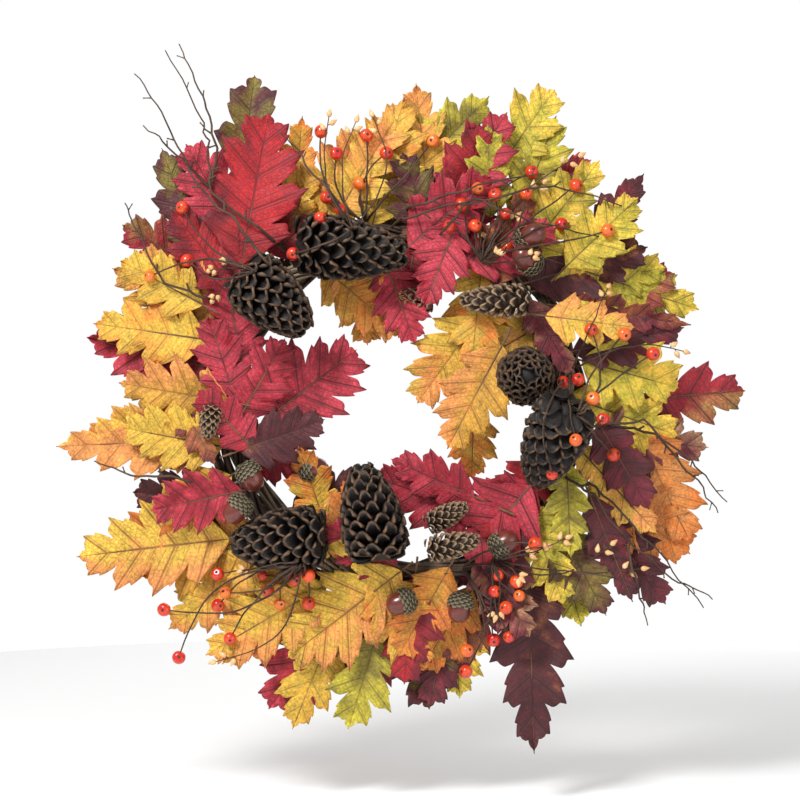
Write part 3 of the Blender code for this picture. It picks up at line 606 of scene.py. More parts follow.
# Leaves further down the pile and small ones tucked in the middle. Each row is the ring angle, the
# distance outside the ring line (mm), the heading, the length and width (mm), the lobes, how far in
# front of the ring's middle it lies (mm), its lean, and its look.
SMALL_LEAVES = (
    (142, 66, 111, 101, 55, 3, 12, -4, "olive_oak_leaf_1"),
    (133, 48, 120, 97, 72, 4, 14, 0, "crimson_oak_leaf_4"),
    (145, 60, 150, 77, 58, 3, 6, 4, "crimson_oak_leaf_2"),
    (92, 14, 92, 97, 58, 3, 4, 0, "green_oak_leaf_2"),
    (77, 20, 58, 106, 72, 4, 16, 4, "crimson_oak_leaf_3"),
    (70, 6, 80, 101, 65, 4, 18, 8, "red_oak_leaf_1"),
    (64, 34, 92, 79, 50, 3, 22, 6, "green_oak_leaf_2"),
    (60, 44, 34, 86, 60, 4, 8, 0, "red_oak_leaf_2"),
    (50, 20, 52, 106, 62, 4, 20, 2, "green_oak_leaf_3"),
    (40, 40, 44, 84, 58, 4, 28, 6, "green_oak_leaf_1"),
    (44, 8, 16, 106, 72, 4, 14, 4, "burgundy_oak_leaf_1"),
    (32, 0, -8, 77, 50, 3, 36, 10, "yellow_oak_leaf_7"),
    (28, 26, 22, 92, 62, 4, 10, 0, "crimson_oak_leaf_2"),
    (18, 10, 12, 97, 55, 4, 20, 4, "burgundy_oak_leaf_2"),
    (72, 22, -112, 81, 55, 4, 30, 4, "crimson_oak_leaf_3"),
    (84, -8, -100, 79, 58, 3, 8, 6, "red_oak_leaf_2"),
    (95, -20, -70, 77, 55, 4, 18, 8, "crimson_oak_leaf_4"),
    (112, -4, -52, 92, 68, 4, 6, 4, "yellow_oak_leaf_4"),
    (104, -2, -84, 88, 65, 4, 0, -6, "yellow_oak_leaf_7"),
    (60, -2, -96, 97, 58, 4, 12, 6, "yellow_oak_leaf_1"),
    (30, 0, -150, 81, 58, 3, 10, 4, "yellow_oak_leaf_3"),
    (4, 0, -20, 101, 68, 4, 8, 0, "green_oak_leaf_4"),
    (-12, 10, -48, 101, 55, 4, 16, 6, "yellow_oak_leaf_3"),
    (-4, 24, -60, 86, 52, 3, 26, 6, "crimson_oak_leaf_1"),
    (-18, 4, -88, 81, 45, 4, 22, 10, "green_oak_leaf_2"),
    (-22, 30, -34, 106, 75, 4, 4, 0, "orange_oak_leaf_1"),
    (-34, 10, -62, 101, 62, 4, 18, 4, "olive_oak_leaf_1"),
    (-36, 20, -76, 92, 60, 3, 6, 0, "green_oak_leaf_2"),
    (-44, -6, -100, 97, 55, 4, 20, 6, "burgundy_oak_leaf_2"),
    (-57, 10, -112, 99, 65, 4, 10, 2, "burgundy_oak_leaf_3"),
    (-76, 30, -100, 86, 62, 4, 6, 0, "crimson_oak_leaf_1"),
    (-84, 22, -84, 92, 68, 3, 2, 0, "olive_oak_leaf_1"),
    (-95, 46, -107, 88, 62, 3, 10, 0, "green_oak_leaf_2"),
    (-90, 6, -112, 106, 72, 4, 8, -2, "crimson_oak_leaf_2"),
    (-104, 20, -126, 121, 82, 4, 4, 0, "red_oak_leaf_2"),
    (-112, 16, -150, 119, 72, 5, 14, 2, "yellow_oak_leaf_2"),
    (-122, 14, -128, 106, 72, 4, 8, 0, "peach_oak_leaf_2"),
    (-137, 8, -160, 114, 75, 4, 12, 0, "yellow_oak_leaf_4"),
    (-148, 8, 174, 97, 68, 4, 8, 2, "burgundy_oak_leaf_1"),
    (-152, 2, -168, 79, 60, 4, 30, 6, "crimson_oak_leaf_4"),
    (-158, 6, -150, 86, 55, 3, 16, 8, "orange_oak_leaf_3"),
    (-164, -20, 132, 70, 50, 3, 26, 8, "crimson_oak_leaf_3"),
    (-176, 8, -172, 119, 72, 4, 6, 0, "yellow_oak_leaf_3"),
    (175, 46, -60, 77, 38, 4, 20, 6, "burgundy_oak_leaf_3"),
    (176, -8, 107, 73, 55, 3, 24, 8, "crimson_oak_leaf_3"),
    (170, 30, 150, 86, 58, 4, 10, 0, "crimson_oak_leaf_2"),
    (168, 10, 166, 114, 68, 4, 16, 0, "crimson_oak_leaf_4"),
    (160, 22, 172, 101, 65, 4, 24, 4, "yellow_oak_leaf_1"),
    (156, 4, 140, 114, 82, 4, 12, 2, "peach_oak_leaf_1"),
    (152, 40, 152, 79, 55, 3, 30, 6, "yellow_oak_leaf_6"),
    (146, 6, 128, 106, 72, 4, 20, 4, "red_oak_leaf_1"),
    (126, 10, 112, 106, 70, 4, 10, 0, "crimson_oak_leaf_2"),
    (116, 12, 70, 106, 68, 4, 6, 2, "yellow_oak_leaf_3"),
    (98, 10, 76, 114, 72, 4, 12, 2, "yellow_oak_leaf_1"),
    (-122, -30, 108, 73, 48, 3, 10, 6, "orange_oak_leaf_3"),
    (-52, -30, 160, 101, 65, 4, 8, 2, "crimson_oak_leaf_3"),
    (-30, -8, -160, 92, 62, 4, 20, 4, "crimson_oak_leaf_4"),
    (-134, -16, 30, 73, 55, 3, 4, 0, "burgundy_oak_leaf_1"),
    (-168, -6, -24, 68, 55, 3, 8, 4, "crimson_oak_leaf_4"),
    (86, -10, 40, 92, 68, 3, 28, 4, "crimson_oak_leaf_3"),
    (66, -12, 20, 86, 62, 4, 24, 6, "crimson_oak_leaf_4"),
    (52, -14, 70, 84, 58, 4, 26, 4, "burgundy_oak_leaf_3"),
    (76, -8, 110, 88, 62, 4, 20, 2, "olive_oak_leaf_1"),
    (81, 26, 96, 108, 62, 4, 14, 0, "yellow_oak_leaf_3"),
    (57, 40, 70, 100, 62, 4, 18, 0, "green_oak_leaf_2"),
    (38, 20, 10, 100, 64, 4, 14, 0, "green_oak_leaf_1"),
    (166, -12, 100, 84, 64, 4, 24, 6, "crimson_oak_leaf_3"),
    (184, -12, 60, 80, 60, 4, 22, 6, "red_oak_leaf_2"),
    (195, -8, 20, 78, 56, 4, 26, 4, "burgundy_oak_leaf_1"),
    (178, -4, 170, 96, 64, 4, 24, 2, "yellow_oak_leaf_4"),
    (-110, -6, 80, 74, 56, 4, 18, 4, "orange_oak_leaf_1"),
    (-128, -2, 20, 84, 60, 4, 20, 2, "yellow_oak_leaf_2"),
    (-98, -2, -60, 92, 66, 4, 18, 2, "yellow_oak_leaf_1"),
    (-84, -2, -96, 92, 66, 4, 20, 2, "red_oak_leaf_1"),
    (-72, -4, -120, 88, 60, 4, 18, 4, "orange_oak_leaf_2"),
    (-60, -6, -60, 84, 60, 4, 18, 4, "crimson_oak_leaf_5"),
    (-90, -12, 150, 72, 52, 3, 18, 6, "crimson_oak_leaf_4"),
    (-36, -12, -70, 94, 60, 4, 18, 4, "green_oak_leaf_3"),
    (-20, -14, -130, 86, 62, 4, 14, 6, "red_oak_leaf_1"),
    (20, -16, 170, 84, 60, 4, 8, 4, "yellow_oak_leaf_3"),
    (-8, 20, -6, 104, 66, 4, 8, 0, "crimson_oak_leaf_5"),
    (-28, 44, -52, 100, 64, 4, 8, 0, "burgundy_oak_leaf_2"),
    (118, -10, -40, 84, 60, 4, 8, 4, "orange_oak_leaf_2"),
    (150, 20, 160, 108, 70, 4, 6, 0, "yellow_oak_leaf_7"),
    (-146, 30, -170, 108, 66, 4, 2, 0, "orange_oak_leaf_1"),
    (-106, 40, -112, 104, 66, 4, 2, 0, "yellow_oak_leaf_6"),
    (-74, 26, -86, 84, 56, 4, 0, 0, "green_oak_leaf_4"),
    (31, -44, -118, 100, 68, 4, 30, 4, "yellow_oak_leaf_4"),
)


def ring_place(angle, offset, ahead):
    """A point at this ring angle (degrees), this far outside and in front of the ring line (mm)."""
    turn = math.radians(angle)
    reach = ring_radius + offset / 1000
    return ring_centre + Vector((reach * math.cos(turn), -ahead / 1000, reach * math.sin(turn)))


SMALL_STALK = 0.018
FIRST_SMALL_SEED = 50
for number, (angle, offset, heading, length, width, lobes, ahead, lean, look) in enumerate(SMALL_LEAVES):
    base = ring_place(angle, offset, ahead)
    curl = random.uniform(-0.006, 0.008)
    leaf = lay_leaf(f"small_leaf_{number + 1}", base, math.radians(heading), math.radians(lean),
                    length / 1000, width / 1000, lobes, SMALL_STALK, LOOKS[look], curl,
                    FIRST_SMALL_SEED + number)

# ---- Pine cones.
# Real dried cones wired on by their stalks: near-black woody scales that open towards the point,
# each with a worn tan rim. The scales are set round a core in the golden spiral.
GOLDEN = math.radians(137.508)
BIG_CONE_SCALES = 104
SMALL_CONE_SCALES = 64
CONE_INSET = 0.004


def axis_facts(node):
    """Where a turned CAD piece's stalk starts, its direction, its length and its largest radius."""
    points = corners_of(node)
    middle = (points.min(axis=0) + points.max(axis=0)) / 2
    values, ways = np.linalg.eigh(np.cov((points - points.mean(axis=0)).T))
    way = ways[:, 2 if values[2] - values[1] > values[1] - values[0] else 0]
    run = (points - middle) @ way
    centre = points[np.abs(run - np.median(run)) < 1].mean(axis=0)
    off = np.linalg.norm(points - centre - ((points - centre) @ way)[:, None] * way, axis=1)
    run = (points - centre) @ way
    if off[run > run.max() - 0.002].max() < off[run < run.min() + 0.002].max():
        way, run = -way, -run
    start = Vector(centre + way * run.min())
    return start, Vector(way), np.ptp(run), off.max()


wood_tree, wood_in, wood_out = group_with(
    "worn_scale",
    [
        ("Dark", "NodeSocketColor", (0, 0, 0, 1)),
        ("Rim", "NodeSocketColor", (1, 1, 1, 1)),
        ("Start", "NodeSocketFloat", 0.7),
        ("Spread", "NodeSocketFloat", 4.0),
    ],
    [("Color", "NodeSocketColor"), ("Height", "NodeSocketFloat"), ("Roughness", "NodeSocketFloat")],
)
rim_mark = wood_tree.nodes.new("ShaderNodeAttribute")
rim_mark.attribute_name = "rim"
wood_cloud = cloudy(wood_tree, 150, 4)
fibres = cloudy(wood_tree, 900, 2)
past = maths(wood_tree, "SUBTRACT", rim_mark.outputs["Fac"], wood_in.outputs["Start"])
patchy = maths(wood_tree, "MULTIPLY", maths(wood_tree, "SUBTRACT", wood_cloud, 0.5), 0.5)
worn = maths(wood_tree, "ADD", past, patchy)
worn = maths(wood_tree, "MULTIPLY", worn, wood_in.outputs["Spread"], clamp=True)
scale_colour = blended(wood_tree, worn, wood_in.outputs["Dark"], wood_in.outputs["Rim"])
wood_tree.links.new(scale_colour, wood_out.inputs["Color"])
wood_tree.links.new(fibres, wood_out.inputs["Height"])
scale_roughness = maths(wood_tree, "MULTIPLY_ADD", fibres, 0.35, 0.45)
wood_tree.links.new(scale_roughness, wood_out.inputs["Roughness"])


def scale_wood(name, dark, rim, start, spread):
    """Woody scales: dark, with a rim colour that begins at start and comes in faster with spread."""
    values = {"Dark": dark, "Rim": rim, "Start": start, "Spread": spread}
    return grouped(name, wood_tree, values, 0.7, 0.0005)[0]


def copied(shape, pattern, matrix):
    """Adds a copy of the pattern's faces to the shape, moved by the matrix."""
    made = bmesh.ops.duplicate(shape, geom=pattern)["geom"]
    bmesh.ops.transform(shape, matrix=matrix, verts=[v for v in made if isinstance(v, bmesh.types.BMVert)])


def scale_pattern(shape, rim):
    """One woody scale, 1 long along +X and 1 wide, spooned, thick at its tip."""
    made = bmesh.ops.create_grid(shape, x_segments=5, y_segments=4, size=1)["verts"]
    for vert in made:
        share, side = (vert.co.x + 1) / 2, vert.co.y
        half = 0.5 * (0.34 + 0.66 * math.sin(math.pi * min(1.0, share * 1.12) * 0.62) ** 1.4)
        if share > 0.85:
            half *= 0.80
        tip = share - 0.13 * side * side * share
        vert[rim] = max(share - 0.1, share * abs(side) ** 4)
        vert.co = (tip, side * half, 0.20 * side * side * share - 0.16 * share * share + 0.16 * share)
    faces = list({face for vert in made for face in vert.link_faces})
    bmesh.ops.recalc_face_normals(shape, faces=faces)
    bmesh.ops.solidify(shape, geom=faces, thickness=0.10)
    for face in shape.faces:
        face.smooth = True
    return shape.verts[:] + shape.edges[:] + shape.faces[:]


def cone_mesh(length, radius, count):
    """A cone standing on the origin with its point along +X."""
    shape = bmesh.new()
    rim = shape.verts.layers.float.new("rim")
    pattern = scale_pattern(shape, rim)
    for number in range(count):
        share = (number + 0.5) / count
        ahead = share ** 0.92
        swell = math.sin(math.pi * (0.16 + 0.80 * ahead) ** 0.72) ** 0.62
        open_angle = math.radians(70 - 44 * ahead + random.uniform(-8, 8))
        core = 0.42 * radius * swell * (1 - 0.3 * ahead)
        reach = max(0.3 * radius, (radius * swell - core) / math.sin(open_angle)) * random.uniform(0.94, 1.04)
        reach = min(reach, 0.85 * radius)
        breadth = radius * (0.50 - 0.17 * ahead) * random.uniform(0.88, 1.10)
        root = ahead * length * 0.93 - reach * math.cos(open_angle) * (0.75 if share > 0.1 else 0.2)
        turn = Matrix.Rotation(number * GOLDEN, 4, "X")
        lean = Matrix.Rotation(-open_angle, 4, "Y")
        size = Matrix.Diagonal((reach, breadth, reach, 1))
        place = Matrix.Translation((max(0.0, root), 0, 0)) @ turn @ Matrix.Translation((0, 0, core * 0.8))
        copied(shape, pattern, place @ lean @ Matrix.Rotation(random.uniform(-0.22, 0.22), 4, "X") @ size)
    bmesh.ops.delete(shape, geom=[g for g in pattern if isinstance(g, bmesh.types.BMVert)])
    heart_size = Matrix.Diagonal((length * 0.45, radius * 0.5, radius * 0.5, 1))
    heart = Matrix.Translation((length * 0.46, 0, 0)) @ heart_size
    bmesh.ops.create_uvsphere(shape, u_segments=16, v_segments=10, radius=1, matrix=heart)
    return shape


def stand_along(shape, start, way):
    """Turns a shape made along +X to this start and direction."""
    turn = way.to_track_quat("X", "Z").to_matrix().to_4x4()
    bmesh.ops.transform(shape, matrix=Matrix.Translation(start) @ turn, verts=shape.verts)


cone_wood = scale_wood("cone_wood", (0.007, 0.004, 0.003), (0.24, 0.13, 0.065), 0.83, 3.4)
small_cone_wood = scale_wood("small_cone_wood", (0.045, 0.025, 0.015), (0.36, 0.24, 0.14), 0.55, 2.6)
for node in sorted(n for n in nodes if "pine_cone" in n):
    small = node.startswith("small")
    start, way, length, radius = axis_facts(node)
    shape = cone_mesh(length, radius * 1.02, SMALL_CONE_SCALES if small else BIG_CONE_SCALES)
    stand_along(shape, start + way * CONE_INSET, way)
    cone = finish_piece(node + "_scales", as_mesh(shape, node), [small_cone_wood if small else cone_wood])
    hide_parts(node)

# ---- Acorns.
# Moulded nuts with a glossy brown skin, each in a rough grey-green cap that is covered in
# small overlapping scales.
CAP_SCALES = 70
CAP_SHARE = 0.40
TURNED_STEPS = 28
ACORN_INSET = 0.003
EXTRA_ACORNS = ((53, 23), (45, 19))
nut_skin, tree, shader = clear_surface("nut_skin", 0.28)
streaks = cloudy(tree, 55, 4)
nut_colour = blended(tree, streaks, (0.055, 0.010, 0.008), (0.24, 0.045, 0.030))
tree.links.new(nut_colour, shader.inputs["Base Color"])
shader.inputs["Coat Weight"].default_value = 0.4
shader.inputs["Coat Roughness"].default_value = 0.2
bump_on(tree, shader, cloudy(tree, 300, 2), 0.0002)
cap_skin = scale_wood("cap_skin", (0.06, 0.045, 0.025), (0.26, 0.22, 0.13), 0.3, 1.6)


def turned(shape, profile, steps):
    """A solid turned about the X axis from (distance along, radius) pairs."""
    corners = [shape.verts.new((along, 0, radius)) for along, radius in profile]
    edges = [shape.edges.new(pair) for pair in zip(corners, corners[1:])]
    bmesh.ops.spin(
        shape, geom=corners + edges, cent=(0, 0, 0), axis=(1, 0, 0), angle=2 * math.pi,
        steps=steps, use_merge=True, use_duplicate=False,
    )
    bmesh.ops.remove_doubles(shape, verts=shape.verts, dist=0.00002)
    bmesh.ops.recalc_face_normals(shape, faces=shape.faces)


def acorn_piece(name, start, way, length, radius):
    """An acorn with its cap at the start and its nut pointing along the way."""
    shape = bmesh.new()
    cap = CAP_SHARE * length
    nut = [(0.7 * cap, 0.0)]
    for i in range(13):
        share = i / 12
        round_off = math.sqrt(max(0.0, 1 - max(0.0, (share - 0.35) / 0.65) ** 2.3))
        reach = 0.90 * radius * round_off + 0.0004 * (share < 1)
        nut.append((cap * 0.8 + (length * 0.97 - cap * 0.8) * share, reach))
    nut.append((length, 0.0))
    turned(shape, nut, TURNED_STEPS)
    for face in shape.faces:
        face.smooth = True
    shape.verts.layers.float.new("rim")
    before = set(shape.faces)
    shell = [(0.0, 0.0)]
    for i in range(10):
        turn = math.pi / 2 * i / 9
        shell.append((cap * (1 - math.cos(turn)) * 0.98, radius * math.sin(turn) ** 0.8))
    shell += [(cap * 1.02, 0.96 * radius), (cap * 0.85, 0.90 * radius)]
    turned(shape, shell, TURNED_STEPS)
    pattern_shape = bmesh.new()
    scale_pattern(pattern_shape, pattern_shape.verts.layers.float.new("rim"))
    scale_mesh = as_mesh(pattern_shape, "cap_scale")
    shape.from_mesh(scale_mesh)
    bpy.data.meshes.remove(scale_mesh)
    shape.verts.ensure_lookup_table()
    pattern = [v for v in shape.verts if v.co.length > 0.1 or v.co.x > 0.05 or v.co.x < -0.05]
    loose = {face for vert in pattern for face in vert.link_faces}
    island = set(pattern) | {v for face in loose for v in face.verts}
    geometry = list(island) + list({e for v in island for e in v.link_edges}) + list(loose)
    for number in range(CAP_SCALES):
        share = ((number + 0.5) / CAP_SCALES) ** 0.6
        turn = math.pi / 2 * share
        place = Matrix.Rotation(number * GOLDEN, 4, "X")
        along = cap * (1 - math.cos(turn)) * 0.98
        place = place @ Matrix.Translation((along, 0, radius * math.sin(turn) ** 0.8))
        lean = Matrix.Rotation(-(math.pi / 2 - turn * 0.86), 4, "Y")
        copied(shape, geometry, place @ lean @ Matrix.Diagonal((0.0036, 0.0040, 0.0030, 1)))
    bmesh.ops.delete(shape, geom=list(island))
    for face in shape.faces:
        if face not in before:
            face.material_index = 1
            face.smooth = True
    stand_along(shape, start, way)
    return finish_piece(name, as_mesh(shape, name), [nut_skin, cap_skin])


for node in sorted(n for n in nodes if n.startswith("acorn")):
    start, way, length, radius = axis_facts(node)
    acorn = acorn_piece(node + "_nut", start + way * ACORN_INSET, way, length - ACORN_INSET, radius)
    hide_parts(node)

for number, spot in enumerate(EXTRA_ACORNS):
    way = Vector((0.5 - number, -0.5, 0.4)).normalized()
    extra = acorn_piece(f"extra_acorn_{number + 1}", ring_place(*spot, 44), way, length, radius)

# ---- Berry sprays and buds.
# Glossy lacquered berries, red to orange, each with a dark eye, and pale buds, on thin dark stems.
# Each CAD spray is replaced by one whose berries stand where its own do or further forward, on
# the pile. The extra sprays add more between them.
lacquer_tree, lacquer_in, lacquer_out = group_with(
    "berry_lacquer",
    [("Skin", "NodeSocketColor", (1, 0, 0, 1)), ("Blush", "NodeSocketColor", (1, 0.3, 0, 1))],
    [("Color", "NodeSocketColor"), ("Height", "NodeSocketFloat")],
)
blush = maths(lacquer_tree, "MULTIPLY_ADD", cloudy(lacquer_tree, 90, 3), 3.0, -1.1, clamp=True)
lacquer_tree.links.new(
    blended(lacquer_tree, blush, lacquer_in.outputs["Skin"], lacquer_in.outputs["Blush"]),
    lacquer_out.inputs["Color"],
)
lacquer_tree.links.new(cloudy(lacquer_tree, 500, 2), lacquer_out.inputs["Height"])


def lacquer(name, skin, blush_colour, roughness):
    """A glossy painted skin that is blushed with a second colour."""
    material, shader = grouped(name, lacquer_tree, {"Skin": skin, "Blush": blush_colour}, roughness, 0.00015)
    shader.inputs["Coat Weight"].default_value = 0.5
    shader.inputs["Coat Roughness"].default_value = 0.12
    return material


red_lacquer = lacquer("red_lacquer", (0.62, 0.012, 0.010), (0.80, 0.10, 0.012), 0.3)
orange_lacquer = lacquer("orange_lacquer", (0.80, 0.11, 0.012), (0.86, 0.24, 0.03), 0.35)
bud_skin = lacquer("bud_skin", (0.82, 0.42, 0.16), (0.86, 0.60, 0.30), 0.5)
eye_dark = bark("berry_eye", (0.02, 0.01, 0.008), (0.08, 0.05, 0.03))
EYE_SLOT, BUD_SLOT, STEM_SLOT = 2, 3, 4
ICO_FACE_DEPTH = 0.7947
ICO_FACE_AREA = 0.4788


def berry_centres(node):
    """The plain CAD berries' centres: each whole face of a twenty-sided ball points at its centre."""
    mesh = bpy.data.objects[node].data
    found = []
    for face in mesh.polygons:
        radius = math.sqrt(face.area / ICO_FACE_AREA)
        if 0.0045 < radius < 0.0075:
            found.append((face.center - face.normal * radius * ICO_FACE_DEPTH, radius))
    centres = []
    for centre, radius in found:
        votes = [other for other, size in found if (other - centre).length < 0.0004]
        if len(votes) >= 5 and all((centre - known).length > 0.003 for known, size in centres):
            centres.append((centre, radius))
    return centres


def add_berry(shape, centre, radius, skin):
    """A berry with a small dimple and a dark eye on the side away from its stem."""
    before = set(shape.faces)
    turn = Matrix.Rotation(random.uniform(0.9, 1.9), 4, "X") @ Matrix.Rotation(random.uniform(-1, 1), 4, "Y")
    place = Matrix.Translation(centre) @ turn
    made = bmesh.ops.create_uvsphere(shape, u_segments=20, v_segments=14, radius=radius)["verts"]
    for vert in made:
        near_pole = max(0.0, vert.co.z / radius - 0.86) / 0.14
        vert.co.z -= 0.16 * radius * near_pole
        vert.co.z *= 0.96
    for face in set(shape.faces) - before:
        face.smooth = True
        spot = face.calc_center_median()
        in_eye = spot.z > 0.80 * radius and spot.xy.length < 0.2 * radius
        face.material_index = EYE_SLOT if in_eye else skin
    bmesh.ops.transform(shape, matrix=place, verts=made)


THIN_NODES = ("berry", "bare_twig")
INTO_WREATH = Vector((0, 1, 0))
STEM_POINTS = 22
STEM_KINK = 0.0022
STEM_GAP = 0.002
BUD_RADIUS = 0.0024
TWIN_REACH = 0.004
TWIN_RADIUS = 0.0004
bpy.context.view_layer.update()
laid_so_far = bpy.context.evaluated_depsgraph_get()


def front_of(place):
    """How far forward the pile reaches here, or the ring's middle where nothing lies."""
    start = Vector((place.x, low.y - 0.1, place.z))
    while True:
        hit, spot, _, _, thing, _ = scene.ray_cast(laid_so_far, start, INTO_WREATH)
        if not hit:
            return ring_centre.y
        if not thing.name.startswith(THIN_NODES) or thing.name not in nodes:
            return min(spot.y, ring_centre.y)
        start = spot + INTO_WREATH * 0.0005


def taut(points, gap):
    """The same line, moved forward so that it lies over the pile as a pulled string would."""
    reach = [-front_of(point) + gap for point in points]
    reach[0], reach[-1] = -points[0].y, -points[-1].y
    last = len(points) - 1
    lifted = []
    for i, point in enumerate(points):
        best = reach[i]
        for a in range(i + 1):
            for b in range(max(i, a + 1), last + 1):
                best = max(best, reach[a] + (reach[b] - reach[a]) * (i - a) / (b - a))
        lifted.append(Vector((point.x, -best, point.z)))
    return lifted


def stem(start, end, bow, thick, thin):
    """One wire stem with a slight bow and small kinks, as (point, radius) pairs."""
    side = Vector((end.z - start.z, 0, start.x - end.x)) * bow
    points = []
    for i in range(STEM_POINTS):
        share = i / (STEM_POINTS - 1)
        kink = noise.noise_vector(Vector((end.x * 90, end.z * 90, share * 5)))
        kink = kink * STEM_KINK * math.sin(math.pi * share)
        points.append(start.lerp(end, share) + side * math.sin(math.pi * share) + kink)
    points = taut(points, STEM_GAP)
    return [(point, thick + (thin - thick) * i / (STEM_POINTS - 1)) for i, point in enumerate(points)]


def on_pile(place, radius):
    """The place moved forward so that a ball of this radius rests on the pile."""
    reach = max(-place.y, -front_of(place) + radius)
    return Vector((place.x, -min(reach, -low.y + 0.006), place.z))


def add_bud(shape, tip, way):
    """A pale tear-shaped bud, its point along the way."""
    before = set(shape.faces)
    made = bmesh.ops.create_uvsphere(shape, u_segments=12, v_segments=8, radius=BUD_RADIUS)["verts"]
    for vert in made:
        point = max(0.0, vert.co.z / BUD_RADIUS)
        vert.co.z *= 1.3 + 0.7 * point
        vert.co.x *= 1 - 0.45 * point
        vert.co.y *= 1 - 0.45 * point
    for face in set(shape.faces) - before:
        face.smooth = True
        face.material_index = BUD_SLOT
    turn = way.to_track_quat("Z", "X").to_matrix().to_4x4()
    bmesh.ops.transform(shape, matrix=Matrix.Translation(tip) @ turn, verts=made)


def grow_spray(name, foot, berries, buds):
    """Berries and buds on stems that leave the ring at the foot."""
    shape = bmesh.new()
    routes = []
    for centre, radius in berries:
        centre = on_pile(centre, radius)
        routes.append(stem(foot, centre, random.uniform(-0.22, 0.22), 0.0011, 0.0006))
        add_berry(shape, centre, radius * 1.04, random.choice((0, 0, 1)))
    for bud in buds:
        bud = on_pile(bud, 0.003)
        route = stem(foot, bud, random.uniform(-0.22, 0.22), 0.0009, 0.0004)
        routes.append(route)
        way = (bud - route[-3][0]).normalized()
        add_bud(shape, bud, way)
        for twin in range(2):
            joint = Vector(route[-3 - twin][0])
            off = way.cross(INTO_WREATH) * (TWIN_REACH if twin else -TWIN_REACH)
            routes.append([(joint, TWIN_RADIUS), (joint + off + way * 0.002, TWIN_RADIUS)])
            add_bud(shape, joint + off + way * 0.003, (off + way * TWIN_REACH).normalized())
    add_rods(shape, routes, STEM_SLOT)
    skins = [red_lacquer, orange_lacquer, eye_dark, bud_skin, dark_bark]
    spray = finish_piece(name, as_mesh(shape, name), skins)
    return spray


# Each extra spray is its foot, its berries and its buds, all as ring angle and distance outside (mm).
EXTRA_SPRAYS = (
    ((104, 6), ((98, 45), (106, 43), (107, 34), (106, 28), (112, 24), (93, 73), (102, 48), (124, 8)),
     ((103, 110), (98, 101), (95, 104))),
    ((60, -4), ((70, 50), (74, 13), (67, 20), (61, 41), (56, 18), (51, 63), (59, 65), (51, 94)),
     ((54, 119), (57, 83), (58, 46), (64, 17), (57, 9), (48, 26))),
    ((136, 14), ((137, 103), (145, 71), (152, 90)), ((140, 48), (144, 51), (150, 34))),
    ((12, 4), ((18, 55), (13, 74), (10, 70), (23, 22), (9, -5), (9, 8), (5, -1), (1, 11), (-10, 0), (-23, -8),
               (-3, 22)), ((11, 103), (30, 60))),
    ((-58, 4), ((-56, 25), (-59, 18), (-62, 29), (-63, 47), (-57, 42), (-74, 67), (-44, 14), (-64, 69)),
     ((-32, 69), (-37, 34), (-33, 103), (-42, 27), (-47, 20), (-54, 31), (-65, 49))),
    ((-122, 2), ((-126, 95), (-131, 81), (-129, 35), (-118, 11), (-121, 23), (-118, 26), (-121, 47),
                 (-133, 67), (-137, 57)), ((-126, 120), (-134, 44))),
)
# How far in front of the ring line the feet and the berries start (mm), and how many berry radii
# two berries' centres keep apart.
FOOT_AHEAD = 10
SPRAY_AHEAD = 30
BERRY_SPACING = 2.1
SPRAY_FEET = ((100, 14), (62, 0), (-2, 0), (-68, 0), (-120, 4))
random.seed(29)
# Unseeded, noise_vector gives other stems and twigs at each run, whatever random is seeded with.
noise.seed_set(29)
berry_spots = []
for node, foot in zip(sorted(n for n in nodes if n.startswith("berry")), SPRAY_FEET):
    found = berry_centres(node)
    berry_spots += [centre for centre, radius in found]
    spray = grow_spray(node + "_lacquered", ring_place(*foot, FOOT_AHEAD), found, [])
    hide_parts(node)
berry_radius = found[0][1]
for number, (foot, berries, buds) in enumerate(EXTRA_SPRAYS):
    chosen = []
    for spot in berries:
        place = ring_place(*spot, SPRAY_AHEAD)
        if all((place - other).xz.length > BERRY_SPACING * berry_radius for other in berry_spots):
            chosen.append((place, berry_radius * random.uniform(0.85, 1.0)))
            berry_spots.append(place)
    bud_places = [ring_place(*bud, SPRAY_AHEAD) for bud in buds]
    grow_spray(f"extra_spray_{number + 1}", ring_place(*foot, FOOT_AHEAD), chosen, bud_places)

# ---- Bare twigs.
# Fine dark twigs, kinked at their nodes, that stand out past the leaves at the upper left and the
# right. Each one of the three CAD twigs is replaced by a few of them.
TWIG_KINK = 0.0035
TWIG_AHEAD = 16
TIP_AHEAD = 30
STEPS_A_KNOT = 7
TWIG_ROUTES = {
    "bare_twig_1": (
        ((132, 6), (131, 60), (132, 103), (129, 165), (128, 216)),
        ((124, 10), (131, 94), (126, 125), (124, 150), (123, 215)),
        ((131, 94), (125, 120), (122, 166), (121, 215)),
        ((130, 102), (131, 140), (132, 177)),
        ((150, 30), (152, 76), (146, 120), (143, 144)),
        ((-160, 30), (-165, 80), (-170, 114)),
        ((104, 10), (110, 70), (113, 105)),
    ),
    "bare_twig_2": (
        ((-6, 10), (-3, 61), (-10, 105), (-16, 144)),
        ((-4, 40), (-6, 75), (-13, 112), (-18, 140)),
        ((76, 0), (72, 30), (55, 82), (41, 113)),
        ((92, 10), (88, 14), (70, 40), (55, 46), (39, 81)),
        ((88, 20), (76, 38), (66, 62), (58, 88)),
    ),
    "bare_twig_3": (
        ((-22, 4), (-24, 34), (-30, 78), (-32, 134), (-31, 166)),
        ((-20, 20), (-24, 53), (-28, 94), (-33, 164)),
        ((-30, 78), (-37, 108), (-41, 134)),
    ),
}


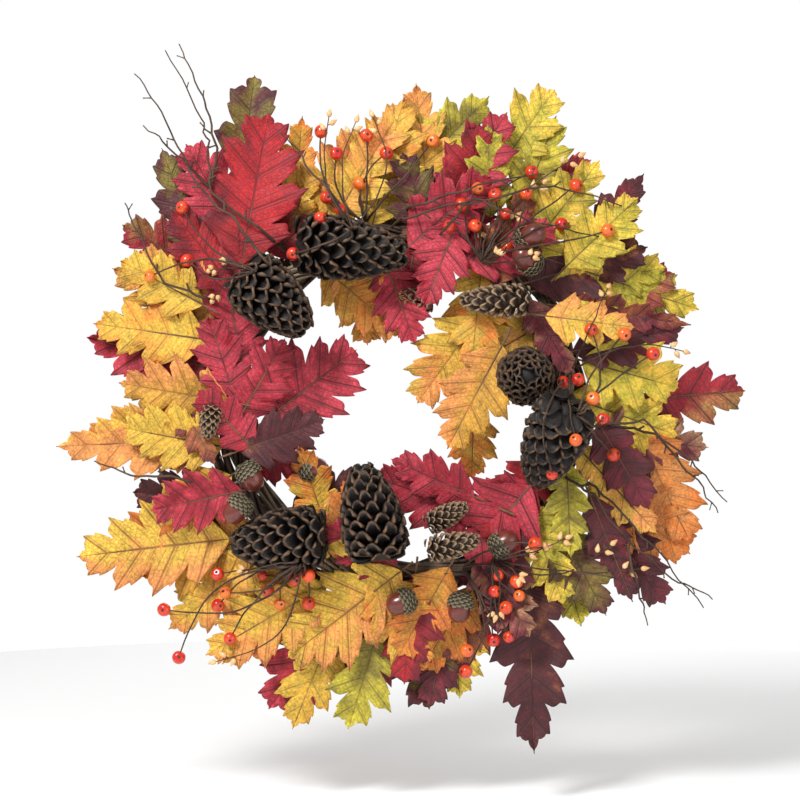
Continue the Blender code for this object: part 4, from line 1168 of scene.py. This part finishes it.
def twig_line(spots, number):
    """A kinked twig through these places, thick at its foot, with a swelling at each node."""
    knots = [ring_place(*spot, TWIG_AHEAD) for spot in spots]
    knots[-1].y = ring_centre.y - TIP_AHEAD / 1000
    points = []
    for start, end in zip(knots, knots[1:]):
        for i in range(STEPS_A_KNOT):
            points.append(start.lerp(end, i / STEPS_A_KNOT))
    points.append(knots[-1])
    line = []
    for i, point in enumerate(taut(points, 0.003)):
        kink = noise.noise_vector(Vector((i * 0.45, number * 7.1, 0.5))) * TWIG_KINK
        share = i / (len(points) - 1)
        line.append((point + Vector((kink.x, -abs(kink.y) * 0.4, kink.z)), 0.0013 - 0.0008 * share))
    routes = [line]
    for i in range(4, len(line) - 2, 5):
        foot, radius = line[i]
        way = (line[i + 1][0] - foot).normalized()
        side = way.cross(INTO_WREATH) * random.choice((-1, 1))
        end = foot + way * 0.004 + side * random.uniform(0.003, 0.007)
        routes.append([(foot, radius), (foot.lerp(end, 0.6), radius * 0.7), (end, radius * 0.9)])
    return routes


random.seed(41)
for node, twigs in TWIG_ROUTES.items():
    routes = [route for number, spots in enumerate(twigs) for route in twig_line(spots, number + len(node))]
    twig = finish_piece(node + "_branched", rods(routes, 2), [dark_bark])
    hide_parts(node)

# ---- Hanger and binding wire.
# The clip is dark moulded plastic with a fine grain, the loop is bare galvanised steel, and the
# ties are black annealed wire. These CAD pieces stay as they are and only take their materials.
clip_skin, tree, shader = clear_surface("clip_plastic", 0.5)
clip_colour = blended(tree, cloudy(tree, 80, 3), (0.020, 0.014, 0.010), (0.040, 0.030, 0.022))
tree.links.new(clip_colour, shader.inputs["Base Color"])
clip_grain = cloudy(tree, 1500, 2)
clip_rough = maths(tree, "MULTIPLY_ADD", clip_grain, 0.3, 0.35)
tree.links.new(clip_rough, shader.inputs["Roughness"])
bump_on(tree, shader, clip_grain, 0.0001)


def wire_metal(name, dark, light, roughness):
    """Drawn wire, tarnished from its light colour to its dark one."""
    material, tree, shader = clear_surface(name, roughness, 1.0)
    tarnish = cloudy(tree, 200, 4)
    tree.links.new(blended(tree, tarnish, dark, light), shader.inputs["Base Color"])
    worn = maths(tree, "MULTIPLY_ADD", tarnish, 0.3, roughness - 0.15)
    tree.links.new(worn, shader.inputs["Roughness"])
    bump_on(tree, shader, cloudy(tree, 900, 2), 0.00005)
    return material


loop_steel = wire_metal("loop_steel", (0.30, 0.30, 0.29), (0.62, 0.61, 0.58), 0.35)
tie_steel = wire_metal("tie_steel", (0.05, 0.05, 0.05), (0.16, 0.15, 0.14), 0.5)
for node, material in (("hanger_clip", clip_skin), ("hanger_loop", loop_steel),
                       ("binding_wire_1", tie_steel), ("binding_wire_2", tie_steel)):
    bpy.data.objects[node].material_slots[0].material = material
